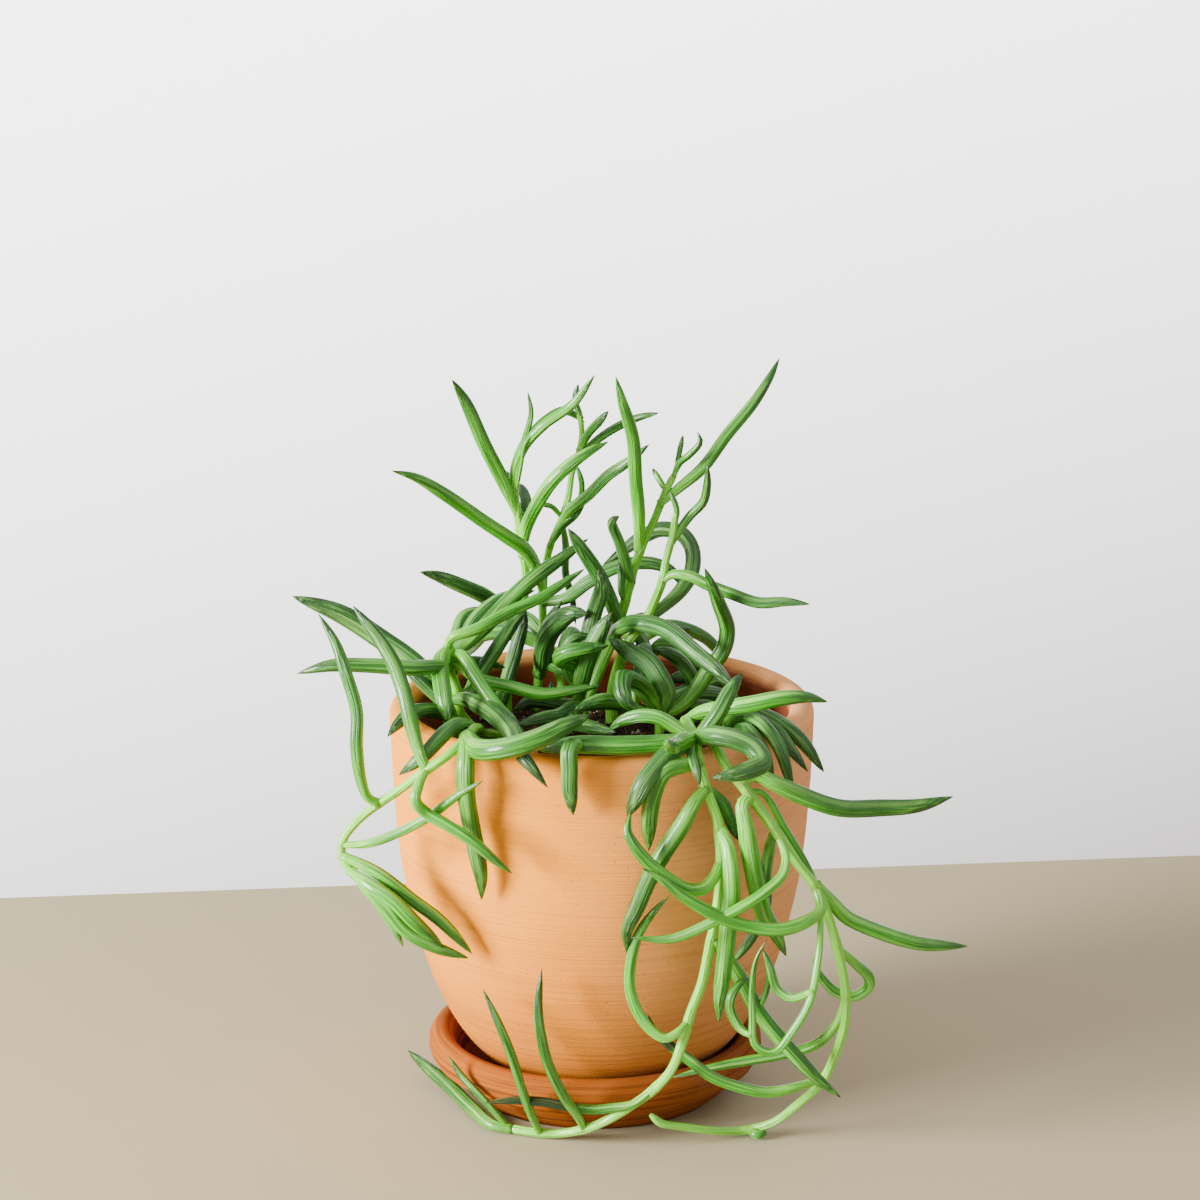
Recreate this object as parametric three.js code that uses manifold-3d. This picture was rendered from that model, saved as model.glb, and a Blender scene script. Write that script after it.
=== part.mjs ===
// String of bananas (Curio radicans) in a terracotta pot that stands in its saucer.
// Millimetres, +Z up. The origin is on the table under the axis of the pot; the full side
// of the plant, where the stems trail over the rim, faces -Y.
import * as THREE from "three";
import { mergeVertices } from "three/addons/utils/BufferGeometryUtils.js";
import Module from "manifold-3d";

const wasm = await Module();
wasm.setup();

// Driving dimensions
const POT_RADIUS = 62.5; // widest, just under the lip
const POT_FOOT_RADIUS = 28.5;
const POT_FOOT_Z = 5.3; // the foot stands just clear of the floor of the saucer
const LIP_Z = 116.8; // height of the middle of the rounded lip
const LIP_SIZE = 3.7; // radius of the lip's rounding
const WALL = 7.2;
const FLOOR = 6;
const DRAIN_RADIUS = 5;
const SOIL_TOP_Z = 104;
const SAUCER_X = -2; // the saucer stands a little off the axis of the pot
const SAUCER_FLOOR = 5;
const SEAT_GAP = 0.3; // between pieces that touch
const HOLE_GAP = 0.9; // round each stem where it stands in the soil
const HOLE_SIDES = 8;
const HOLE_RISE = 5; // how far the hole's cutter stands above the soil
const DRAIN_SIDES = 16;
const TURN_SIDES = 30; // sides of each turned piece
const STEM_SIDES = 6;
const LEAF_SIDES = 6;
const STEM_STEP = 9; // length of one stretch of a stem
const LEAF_STEP = 11; // length of one stretch of a leaf
const TIP_SHARE = 0.1; // how thick a leaf still is just before its tip
const ROOT_SHARE = 0.55; // how thick a leaf is where it leaves its stem
const SWELL_END = 0.3; // share of its length by which a leaf has swollen
const TAPER_START = 0.5; // share of its length from which a leaf tapers
const TAPER_POWER = 3.4;

/** A leaf: its greatest thickness, and the points that its middle line goes through. */
function leaf(width, ...path) {
  return { width, path };
}

// Each stem starts under the soil. A leaf's first point lies inside its stem.
const STEMS = [
  {
    name: "left_shoot",
    radii: [1.5, 1.2],
    path: [
      [-29, 39, 96], [-29, 39, 107], [-29, 39, 115], [-26, 38, 126], [-24, 37, 138],
      [-23, 36, 149], [-24, 35, 157], [-25, 34, 166], [-26, 33, 174],
    ],
    leaves: [
      leaf(4.2, [-25, 34, 168], [-30, 31, 180], [-35, 28, 191], [-40, 24, 204], [-44, 20, 212]),
      leaf(1.9, [-26, 33, 173], [-25, 31, 185], [-23, 30, 192], [-21, 29, 200], [-22, 28, 207]),
      leaf(1.3, [-26, 33, 174], [-24, 29, 185], [-23, 27, 191], [-20, 27, 195]),
      leaf(3,
        [-26, 33, 173], [-26, 32, 182], [-23, 29, 190], [-17, 27, 197], [-9, 26, 203],
        [-2, 22, 213]),
      leaf(3.2,
        [-26, 33, 173], [-26, 34, 182], [-22, 35, 191], [-16, 36, 197], [-11, 38, 199],
        [-5, 40, 195]),
      leaf(3.2, [-25, 34, 168], [-28, 42, 174], [-29, 50, 178]),
      leaf(4.2,
        [-24, 35, 155], [-23, 30, 164], [-20, 25, 172], [-14, 21, 182], [-6, 20, 189],
        [2, 22, 193]),
      leaf(3.4, [-25, 34, 163], [-23, 40, 170], [-25, 50, 174]),
      leaf(4.4,
        [-29, 39, 112], [-31, 34, 109], [-29, 32, 116], [-26, 31, 127], [-24, 31, 134],
        [-23, 31, 140]),
      leaf(4.8,
        [-25, 38, 128], [-29, 34, 137], [-35, 28, 144], [-42, 22, 149], [-49, 18, 153],
        [-54, 15, 155]),
    ],
  },
  {
    name: "centre_shoot",
    radii: [1.5, 0.8],
    path: [
      [-20, 45, 96], [-20, 45, 107], [-19, 43, 120], [-18, 42, 130], [-18, 41, 140],
      [-17, 40, 151], [-15, 39, 159], [-12, 38, 166], [-10, 38, 173], [-9, 37, 180], [-7, 37, 186],
      [-6, 36, 193], [-7, 36, 200],
    ],
    leaves: [
      leaf(1.8, [-6, 36, 197], [-8, 35, 203], [-7, 34, 208]),
      leaf(2.7, [-7, 37, 187], [-4, 34, 193], [-1, 31, 197], [2, 28, 201]),
      leaf(2.6, [-7, 37, 185], [-3, 37, 189], [2, 36, 193], [7, 35, 196], [11, 33, 198], [17, 30, 200]),
      leaf(2, [-11, 38, 170], [-7, 35, 172], [-6, 33, 177], [-7, 32, 182], [-8, 32, 184]),
      leaf(1.6, [-12, 38, 166], [-15, 36, 170], [-18, 35, 171], [-21, 34, 172]),
      leaf(3.4,
        [-13, 38, 163], [-10, 34, 169], [-4, 30, 175], [2, 26, 182], [8, 22, 187], [14, 18, 193]),
      leaf(2.6, [-16, 39, 157], [-12, 36, 164], [-8, 34, 168], [-5, 33, 172]),
      leaf(2.4, [-12, 38, 165], [-11, 41, 157], [-11, 43, 147], [-9, 44, 139], [-8, 44, 131]),
      leaf(4.2,
        [-18, 41, 143], [-20, 34, 152], [-23, 27, 159], [-27, 23, 163], [-35, 17, 170],
        [-45, 10, 179], [-54, 4, 186], [-61, 0, 189]),
      leaf(4.2,
        [-18, 41, 139], [-11, 38, 141], [-4, 35, 147], [5, 34, 152], [15, 34, 153], [21, 32, 151],
        [26, 30, 145]),
      leaf(4.8, [-19, 43, 120], [-15, 36, 121], [-11, 30, 121], [-7, 26, 120]),
      leaf(2.4, [-18, 42, 127], [-17, 38, 133], [-14, 36, 138], [-12, 35, 141]),
      leaf(6.8,
        [-19, 44, 116], [-18, 37, 122], [-17, 29, 130], [-14, 22, 137], [-9, 16, 142],
        [-4, 12, 143]),
    ],
  },
  {
    name: "tall_shoot",
    radii: [2, 1],
    path: [
      [-6, 28, 96], [-6, 28, 107], [-4, 28, 113], [0, 28, 123], [3, 28, 130], [6, 27, 139],
      [8, 26, 147], [10, 25, 155], [13, 24, 163], [16, 23, 170], [19, 22, 178], [22, 22, 184],
    ],
    leaves: [
      leaf(4.3, [11, 25, 159], [11, 20, 170], [10, 17, 182], [9, 14, 196], [6, 11, 207], [4, 9, 215]),
      leaf(3.6,
        [17, 22, 174], [23, 22, 179], [30, 23, 185], [37, 26, 194], [45, 30, 203], [50, 34, 210],
        [53, 38, 215]),
      leaf(1.6, [22, 22, 184], [23, 22, 190], [24, 22, 195]),
      leaf(2.1, [21, 22, 182], [23, 20, 187], [26, 18, 190], [29, 17, 194], [28, 17, 197]),
      leaf(1.8, [19, 22, 178], [17, 24, 181], [15, 26, 184]),
      leaf(3.5, [9, 26, 149], [7, 20, 157], [5, 12, 165], [3, 3, 173], [5, -2, 176]),
      leaf(5, [5, 28, 135], [3, 23, 143], [-1, 19, 153], [-6, 15, 162], [-10, 12, 169]),
      leaf(4.8, [-4, 28, 113], [-4, 33, 117], [-1, 35, 124], [2, 36, 130], [5, 37, 137]),
      leaf(2.6, [7, 26, 143], [6, 26, 147], [6, 27, 151], [5, 27, 155]),
      leaf(5.5,
        [4, 28, 132], [6, 19, 137], [11, 9, 141], [19, 5, 140], [27, -1, 135], [34, -9, 131],
        [39, -14, 127]),
    ],
  },
  {
    name: "right_shoot",
    radii: [2.1, 0.9],
    path: [
      [3, 21, 96], [3, 21, 107], [3, 22, 114], [5, 21, 124], [8, 20, 132], [13, 19, 139],
      [16, 18, 146], [18, 17, 152], [19, 17, 158], [21, 17, 166], [22, 17, 174],
    ],
    leaves: [
      leaf(1.8, [22, 17, 170], [22, 17, 174], [20, 18, 179]),
      leaf(2.7,
        [20, 17, 162], [23, 18, 167], [26, 19, 171], [30, 17, 176], [31, 15, 182], [31, 13, 188]),
      leaf(3.5,
        [18, 17, 152], [21, 16, 154], [26, 14, 154], [31, 12, 152], [38, 9, 150], [46, 6, 148],
        [54, 3, 149], [61, 0, 149]),
      leaf(4.6,
        [13, 19, 139], [19, 22, 143], [24, 26, 147], [27, 29, 152], [27, 32, 158], [24, 34, 162],
        [18, 36, 163], [12, 38, 160], [6, 40, 155], [0, 42, 150]),
      leaf(2.6, [12, 19, 138], [17, 23, 136], [22, 26, 135], [27, 28, 134]),
    ],
  },
  {
    name: "left_crown",
    radii: [1.5, 1.3],
    path: [
      [-38, 10, 96], [-38, 10, 107], [-42, 7, 114], [-43, 4, 122], [-45, 0, 131], [-45, -2, 137],
    ],
    leaves: [
      leaf(3.5,
        [-45, -2, 136], [-44, -5, 140], [-36, -5, 143], [-27, -1, 147], [-18, 4, 150],
        [-5, 11, 157]),
      leaf(4.6,
        [-45, 0, 132], [-40, 4, 136], [-34, 7, 141], [-29, 10, 146], [-21, 13, 153],
        [-12, 20, 158], [-4, 24, 163]),
      leaf(4.6,
        [-45, 0, 132], [-41, 9, 135], [-38, 14, 140], [-33, 18, 144], [-27, 22, 146],
        [-20, 24, 147]),
      leaf(4.2,
        [-43, 4, 121], [-40, 6, 120], [-37, 9, 124], [-32, 13, 131], [-27, 16, 138],
        [-22, 18, 144]),
      leaf(3.6, [-45, 1, 129], [-42, 12, 128], [-36, 20, 126], [-29, 24, 123]),
      leaf(4.4,
        [-44, 1, 128], [-43, 10, 133], [-43, 16, 136], [-41, 20, 140], [-36, 22, 141],
        [-30, 24, 142]),
      leaf(5.2, [-45, -2, 136], [-47, -10, 134], [-46, -19, 128], [-44, -25, 120]),
      leaf(4.2, [-45, -1, 132], [-41, -6, 135], [-37, -10, 130], [-30, -17, 122], [-22, -24, 117]),
      leaf(3.7,
        [-45, 0, 131], [-42, -4, 132], [-36, -6, 128], [-27, -7, 126], [-17, -8, 124],
        [-8, -7, 125], [0, -6, 126]),
      leaf(4.5,
        [-45, 0, 130], [-48, -14, 134], [-55, -19, 135], [-67, -20, 136], [-78, -20, 136],
        [-88, -18, 133]),
      leaf(5.6,
        [-43, 5, 119], [-39, -4, 121], [-32, -20, 122], [-27, -38, 123], [-24, -53, 124],
        [-22, -63, 122], [-18, -67, 118], [-15, -67, 114]),
    ],
  },
  {
    name: "left_trail",
    radii: [1.5, 1.2],
    path: [
      [-27, -2, 96], [-27, -2, 107], [-29, -5, 109], [-32, -12, 113], [-34, -22, 116],
      [-36, -36, 122], [-38, -48, 123], [-43, -56, 120], [-50, -56, 115], [-57, -50, 108],
      [-64, -46, 102], [-70, -43, 96], [-74, -42, 90], [-74, -43, 85], [-70, -44, 81],
    ],
    leaves: [
      leaf(6.2,
        [-38, -48, 123], [-34, -60, 123], [-27, -66, 125], [-18, -67, 128], [-10, -64, 131],
        [-3, -60, 133]),
      leaf(4.2,
        [-49, -56, 116], [-50, -56, 118], [-52, -54, 123], [-54, -52, 131], [-56, -49, 138],
        [-59, -46, 145], [-64, -43, 152], [-70, -40, 159]),
      leaf(3.7,
        [-63, -47, 103], [-66, -48, 105], [-68, -49, 111], [-69, -48, 120], [-69, -46, 130],
        [-72, -43, 140], [-75, -40, 148], [-80, -37, 156]),
      leaf(2.8,
        [-74, -42, 89], [-67, -47, 91], [-58, -53, 96], [-48, -58, 103], [-40, -61, 110],
        [-33, -64, 115]),
      leaf(3.5,
        [-49, -56, 116], [-51, -61, 113], [-52, -63, 109], [-49, -62, 105], [-43, -64, 102],
        [-36, -66, 98], [-30, -67, 93], [-25, -67, 89]),
      leaf(5,
        [-38, -48, 123], [-38, -59, 120], [-38, -60, 111], [-37, -58, 102], [-35, -58, 91],
        [-34, -57, 84], [-34, -55, 77]),
      leaf(3.8,
        [-74, -43, 86], [-68, -45, 84], [-62, -47, 81], [-54, -49, 75], [-46, -50, 69],
        [-37, -50, 59]),
      leaf(3.8,
        [-71, -44, 82], [-67, -48, 78], [-61, -51, 73], [-56, -52, 67], [-48, -52, 62],
        [-38, -51, 58]),
      leaf(4.2, [-72, -44, 82], [-65, -50, 79], [-59, -53, 76], [-53, -54, 70], [-45, -53, 62]),
      leaf(2.4, [-70, -44, 81], [-66, -45, 76], [-62, -45, 69], [-59, -45, 64], [-57, -44, 59]),
      leaf(4.4, [-35, -31, 120], [-40, -36, 123], [-44, -47, 124], [-50, -53, 119], [-57, -52, 113]),
    ],
  },
  {
    name: "left_rim",
    radii: [1.4, 1.2],
    path: [
      [-44, -6, 96], [-44, -6, 107], [-43, -9, 112], [-44, -12, 118],
    ],
    leaves: [
      leaf(6,
        [-44, -12, 117], [-47, -9, 124], [-54, -6, 132], [-64, -4, 139], [-76, -4, 147],
        [-90, -6, 153]),
      leaf(4.3, [-44, -11, 117], [-48, -16, 121], [-54, -27, 124], [-58, -35, 123], [-61, -38, 120]),
      leaf(4, [-43, -10, 115], [-45, -12, 121], [-49, -11, 125], [-54, -9, 129], [-58, -7, 132]),
    ],
  },
  {
    name: "right_front_trail",
    radii: [1.6, 1.3],
    path: [
      [26, -6, 96], [26, -6, 107], [25, -15, 113], [24, -26, 121], [25, -39, 123], [26, -51, 123],
      [27, -62, 119], [29, -64, 112], [32, -64, 104], [33, -64, 95], [33, -64, 86], [32, -64, 76],
      [30, -64, 65], [28, -64, 55], [25, -63, 46], [23, -63, 38], [20, -62, 29], [15, -58, 21],
      [9, -55, 15], [2, -54, 10], [-5, -50, 5.3], [-13, -46, 2.2], [-21, -44, 1.9],
      [-28, -41, 1.9],
    ],
    leaves: [
      leaf(5, [26, -50, 123], [27, -53, 124], [32, -54, 131], [36, -52, 138], [39, -50, 142]),
      leaf(4.6,
        [24, -26, 121], [28, -31, 125], [35, -36, 128], [42, -39, 130], [51, -40, 132],
        [58, -39, 132], [64, -37, 130]),
      leaf(4,
        [26, -49, 123], [22, -48, 125], [16, -46, 128], [11, -44, 128], [6, -42, 126],
        [2, -41, 123]),
      leaf(5.8,
        [26, -50, 123], [20, -57, 124], [13, -59, 124], [4, -60, 124], [-6, -59, 124],
        [-14, -58, 123], [-20, -55, 122]),
      leaf(5, [26, -50, 123], [23, -58, 125], [20, -66, 126], [19, -76, 129], [18, -84, 132]),
      leaf(5.4,
        [26, -55, 122], [22, -60, 124], [17, -66, 122], [12, -70, 117], [9, -70, 111],
        [7, -68, 106]),
      leaf(5,
        [27, -62, 119], [23, -65, 120], [17, -68, 119], [14, -67, 112], [13, -66, 104],
        [13, -65, 95]),
      leaf(5.6,
        [26, -50, 123], [31, -60, 127], [37, -64, 127], [42, -66, 125], [44, -69, 122],
        [41, -72, 121], [36, -74, 120], [30, -74, 119]),
      leaf(3.8, [29, -64, 113], [31, -61, 110], [34, -61, 107], [36, -61, 102], [38, -62, 97]),
      leaf(5,
        [29, -64, 113], [26, -66, 110], [22, -67, 103], [17, -67, 95], [13, -66, 87],
        [10, -65, 79], [7, -64, 71], [7, -63, 64]),
      leaf(3.8,
        [33, -64, 91], [31, -68, 88], [28, -71, 86], [24, -72, 86], [19, -73, 89], [13, -73, 94],
        [9, -73, 99], [7, -72, 103], [8, -70, 108]),
      leaf(4.8,
        [33, -64, 101], [35, -68, 96], [36, -70, 85], [35, -70, 73], [34, -69, 61], [33, -67, 52],
        [33, -65, 44]),
      leaf(3.2, [26, -51, 123], [25, -61, 122], [26, -69, 120], [27, -71, 116]),
      leaf(5, [-6, -59, 124], [-9, -66, 125], [-9, -67, 119], [-9, -67, 114], [-8, -67, 106]),
      leaf(4.4,
        [31, -64, 68], [36, -62, 61], [40, -61, 54], [44, -61, 46], [52, -62, 36], [61, -62, 26],
        [68, -62, 20]),
      leaf(1.8, [44, -61, 46], [46, -62, 51], [47, -62, 57], [46, -62, 64]),
      leaf(3.2,
        [24, -63, 43], [22, -66, 42], [18, -67, 40], [14, -66, 42], [10, -64, 47], [8, -63, 53],
        [8, -63, 60], [10, -63, 69], [14, -64, 76], [19, -65, 82]),
      leaf(2.8,
        [15, -58, 21], [9, -57, 16], [3, -55, 14], [-3, -54, 13], [-10, -54, 14], [-17, -53, 15],
        [-25, -52, 15], [-34, -49, 13]),
      leaf(3,
        [-5, -50, 5.2], [-7, -54, 11], [-11, -58, 19], [-15, -61, 29], [-17, -63, 38],
        [-18, -63, 47], [-17, -62, 59]),
      leaf(2.7,
        [-18, -45, 1.9], [-20, -50, 9], [-23, -55, 20], [-26, -58, 32], [-30, -57, 42],
        [-34, -54, 50]),
      leaf(4.2,
        [-26, -42, 1.9], [-32, -40, 2.4], [-38, -31, 3.5], [-45, -17, 4.5], [-52, -6, 6],
        [-59, 4, 8]),
      leaf(2.2, [-27, -41, 1.9], [-31, -42, 7], [-36, -40, 12], [-41, -36, 16], [-45, -33, 21]),
    ],
  },
  {
    name: "right_trail",
    radii: [1.6, 1.2],
    path: [
      [34, -14, 96], [34, -14, 107], [31, -26, 117], [31, -41, 122], [32, -54, 122],
      [35, -63, 118], [38, -64, 115], [43, -64, 108], [50, -64, 98], [55, -63, 90], [60, -62, 83],
      [64, -61, 73], [67, -60, 62], [69, -59, 51], [69, -58, 41], [67, -56, 32], [63, -53, 21],
      [57, -49, 13], [50, -46, 5.8], [42, -43, 2], [33, -47, 3.4], [23, -50, 6], [17, -52, 8],
      [14, -53, 11],
    ],
    leaves: [
      leaf(3.8,
        [60, -62, 83], [61, -66, 78], [57, -70, 76], [49, -74, 75], [39, -76, 77], [30, -77, 81],
        [22, -77, 86], [16, -77, 91], [11, -77, 94]),
      leaf(3,
        [49, -64, 99], [51, -68, 94], [50, -71, 90], [45, -74, 86], [38, -76, 82], [30, -77, 78],
        [19, -76, 73], [8, -75, 73]),
      leaf(4.2,
        [60, -62, 84], [64, -60, 79], [69, -58, 73], [79, -57, 68], [90, -55, 64], [104, -52, 62]),
      leaf(3,
        [66, -60, 65], [72, -56, 58], [76, -53, 53], [76, -51, 49], [72, -50, 46], [67, -49, 47],
        [63, -49, 51], [61, -49, 55], [61, -49, 59]),
      leaf(2.8,
        [69, -59, 49], [67, -57, 41], [62, -55, 34], [54, -53, 30], [43, -51, 27], [32, -49, 24],
        [20, -47, 20]),
      leaf(3.2,
        [63, -53, 22], [55, -57, 21], [47, -58, 20], [38, -58, 22], [31, -58, 25], [25, -56, 29],
        [19, -54, 33], [15, -53, 37], [13, -53, 42]),
      leaf(2.6, [43, -43, 2.1], [45, -46, 1.9], [48, -44, 1.9]),
      leaf(2.2, [40, -64, 112], [45, -60, 110], [51, -60, 100], [57, -60, 90], [61, -61, 83]),
      leaf(5,
        [41, -64, 110], [39, -66, 109], [40, -67, 102], [42, -66, 90], [45, -64, 77],
        [49, -62, 69], [52, -60, 62]),
      leaf(3.6,
        [48, -64, 101], [47, -60, 95], [46, -57, 85], [46, -57, 76], [42, -57, 66], [36, -55, 57]),
      leaf(5,
        [38, -64, 115], [43, -62, 116], [48, -63, 114], [56, -62, 110], [66, -60, 106],
        [78, -54, 104], [89, -52, 104], [99, -50, 106]),
      leaf(2.2,
        [61, -62, 81], [61, -68, 73], [60, -72, 64], [58, -74, 54], [53, -75, 45], [48, -75, 39],
        [43, -75, 41], [42, -74, 50], [42, -73, 58], [43, -73, 66], [46, -73, 72]),
      leaf(2.4, [59, -74, 57], [53, -72, 54], [49, -70, 56], [47, -69, 62], [45, -68, 67]),
      leaf(2.6,
        [42, -75, 44], [39, -73, 45], [36, -72, 50], [36, -72, 54], [38, -70, 57], [41, -66, 58]),
    ],
  },
  {
    name: "right_rim",
    radii: [1.4, 1.2],
    path: [
      [43, -5, 96], [43, -5, 107], [38, -13, 112], [36, -20, 119],
    ],
    leaves: [
      leaf(4.3, [36, -20, 119], [41, -26, 124], [48, -33, 124], [56, -40, 120], [63, -43, 111]),
      leaf(3.8, [36, -19, 118], [42, -30, 123], [49, -41, 123], [54, -47, 118], [58, -49, 113]),
      leaf(4, [37, -17, 116], [42, -30, 123], [46, -42, 124], [50, -51, 120], [54, -53, 106]),
      leaf(3.8, [38, -14, 113], [40, -30, 120], [42, -44, 123], [46, -54, 119], [48, -52, 110]),
    ],
  },
  {
    name: "core_right",
    radii: [1.5, 1.3],
    path: [
      [17, 4, 96], [17, 4, 107], [17, 4, 112], [17, 4, 115],
    ],
    leaves: [
      leaf(5.6,
        [17, 4, 114], [13, 1, 122], [9, -4, 127], [6, -10, 129], [6, -14, 126], [8, -16, 123],
        [11, -16, 121]),
      leaf(6, [17, 4, 114], [19, 4, 120], [17, 5, 125], [14, 7, 129], [8, 10, 132], [2, 13, 135]),
      leaf(5.2, [17, 4, 113], [11, -1, 116], [4, -6, 121], [-3, -11, 122], [-8, -15, 121]),
      leaf(4.8,
        [17, 4, 114], [23, 6, 116], [28, 8, 121], [32, 9, 127], [36, 9, 133], [37, 9, 139],
        [34, 4, 149], [30, 0, 160]),
      leaf(4.4, [17, 4, 114], [15, 9, 117], [12, 12, 122], [10, 14, 127]),
      leaf(3, [17, 4, 113], [21, 6, 115], [26, 8, 116], [34, 11, 116]),
      leaf(5.2, [17, 4, 114], [22, 10, 117], [29, 14, 118], [37, 17, 116], [43, 18, 114]),
    ],
  },
  {
    name: "core_left",
    radii: [1.5, 1.2],
    path: [
      [-9, 12, 96], [-9, 12, 107], [-7, 12, 113], [-6, 13, 122], [-4, 14, 129],
    ],
    leaves: [
      leaf(5, [-5, 14, 126], [-9, 8, 129], [-12, 4, 131], [-11, 0, 134], [-5, -2, 136], [2, -2, 137]),
      leaf(4.8, [-4, 14, 128], [-4, 16, 135], [-2, 16, 143], [0, 13, 151], [-1, 11, 157]),
      leaf(5.4, [-7, 12, 116], [-6, 8, 124], [-4, 5, 132], [-1, 4, 139], [3, 2, 146]),
      leaf(4.2, [-6, 13, 119], [-9, 10, 124], [-11, 7, 131], [-9, 5, 137], [-3, 6, 138]),
      leaf(2.8, [-7, 12, 113], [-12, 9, 113], [-15, 9, 117], [-15, 10, 123]),
      leaf(4.4, [-7, 12, 113], [-9, 0, 115], [-8, -14, 117], [-2, -26, 119], [4, -34, 120]),
      leaf(4.2, [-7, 12, 115], [-9, 2, 117], [-13, -10, 118], [-18, -20, 120], [-25, -28, 120]),
      leaf(4.4, [-7, 12, 116], [-11, 8, 116], [-15, 3, 118], [-21, -2, 120], [-26, -5, 118]),
    ],
  },
  {
    name: "core_back",
    radii: [1.5, 1.2],
    path: [
      [20, 38, 96], [20, 38, 107], [18, 38, 112], [16, 38, 119], [14, 37, 125],
    ],
    leaves: [
      leaf(4.6,
        [15, 38, 121], [13, 34, 126], [14, 29, 123], [16, 27, 118], [20, 27, 112], [22, 26, 110]),
      leaf(4, [15, 37, 123], [12, 38, 128], [10, 40, 132], [13, 44, 135]),
      leaf(4.6, [15, 37, 123], [18, 36, 127], [24, 36, 125], [29, 37, 120], [32, 38, 117]),
    ],
  },
  {
    name: "back_right",
    radii: [1.5, 1.2],
    path: [
      [31, 24, 96], [31, 24, 107], [30, 24, 111], [29, 25, 117],
    ],
    leaves: [
      leaf(4.6, [29, 25, 114], [26, 20, 123], [21, 17, 129], [15, 16, 131]),
      leaf(4.4, [30, 24, 113], [26, 20, 117], [22, 16, 116], [17, 14, 113]),
      leaf(3.6, [29, 25, 117], [27, 27, 119], [24, 28, 119], [20, 27, 118]),
      leaf(4.4, [29, 25, 115], [33, 27, 118], [36, 31, 115], [39, 32, 112]),
    ],
  },
  {
    name: "back_trail",
    radii: [1.4, 1.1],
    path: [
      [10, 40, 96], [10, 40, 107], [11, 44, 117], [12, 52, 124], [13, 60, 124], [14, 67, 117],
      [14, 68, 104], [13, 68, 90], [11, 67, 75], [10, 66, 62],
    ],
    leaves: [
      leaf(4.4, [12, 52, 124], [20, 58, 127], [32, 63, 122], [40, 66, 112]),
      leaf(4.6, [13, 60, 124], [4, 66, 122], [-5, 70, 112], [-8, 71, 98], [-7, 70, 86]),
      leaf(4.4, [14, 68, 104], [22, 71, 98], [27, 72, 86], [28, 71, 72]),
      leaf(4.2, [13, 68, 90], [5, 70, 82], [0, 70, 70], [-2, 69, 58]),
      leaf(4, [11, 67, 75], [18, 69, 66], [21, 69, 54], [20, 68, 44]),
      leaf(3.6, [10, 66, 62], [6, 67, 52], [4, 66, 42]),
    ],
  },
  {
    name: "back_crown",
    radii: [1.4, 1.2],
    path: [
      [-12, 46, 96], [-12, 46, 107], [-14, 48, 117], [-17, 50, 125],
    ],
    leaves: [
      leaf(4.6, [-17, 50, 125], [-24, 56, 130], [-34, 60, 127], [-42, 62, 116]),
      leaf(4.2, [-14, 48, 117], [-10, 56, 125], [-8, 64, 121], [-13, 68, 110], [-15, 69, 98]),
      leaf(4.6, [-16, 49, 122], [-27, 49, 127], [-38, 50, 126], [-47, 54, 117]),
    ],
  },
];

// Solids

/** A closed mesh geometry as a manifold-3d solid. */
function solidOf(geometry) {
  const bare = geometry.clone();
  bare.deleteAttribute("normal");
  bare.deleteAttribute("uv");
  const merged = mergeVertices(bare, 1e-4);
  return new wasm.Manifold(
    new wasm.Mesh({
      numProp: 3,
      vertProperties: merged.attributes.position.array,
      triVerts: new Uint32Array(merged.index.array),
    }),
  );
}

/** A manifold-3d solid as a mesh geometry. */
function geometryOf(solid) {
  const { vertProperties, triVerts } = solid.getMesh();
  const geometry = new THREE.BufferGeometry();
  geometry.setAttribute("position", new THREE.BufferAttribute(vertProperties, 3));
  geometry.setIndex(new THREE.BufferAttribute(triVerts, 1));
  geometry.computeVertexNormals();
  return geometry;
}

/** Turns a closed profile of [radius, height] points about the Z axis. */
function turned(profile) {
  const outline = profile.map(([radius, z]) => new THREE.Vector2(radius, z));
  const geometry = new THREE.LatheGeometry(outline, TURN_SIDES);
  return geometry.rotateX(Math.PI / 2);
}

/** Points of an arc in a profile, from one angle to another in degrees. */
function arc(radius, z, size, from, to, steps) {
  return Array.from({ length: steps + 1 }, (_, i) => {
    const angle = THREE.MathUtils.degToRad(from + ((to - from) * i) / steps);
    return [radius + size * Math.cos(angle), z + size * Math.sin(angle)];
  });
}

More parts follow.
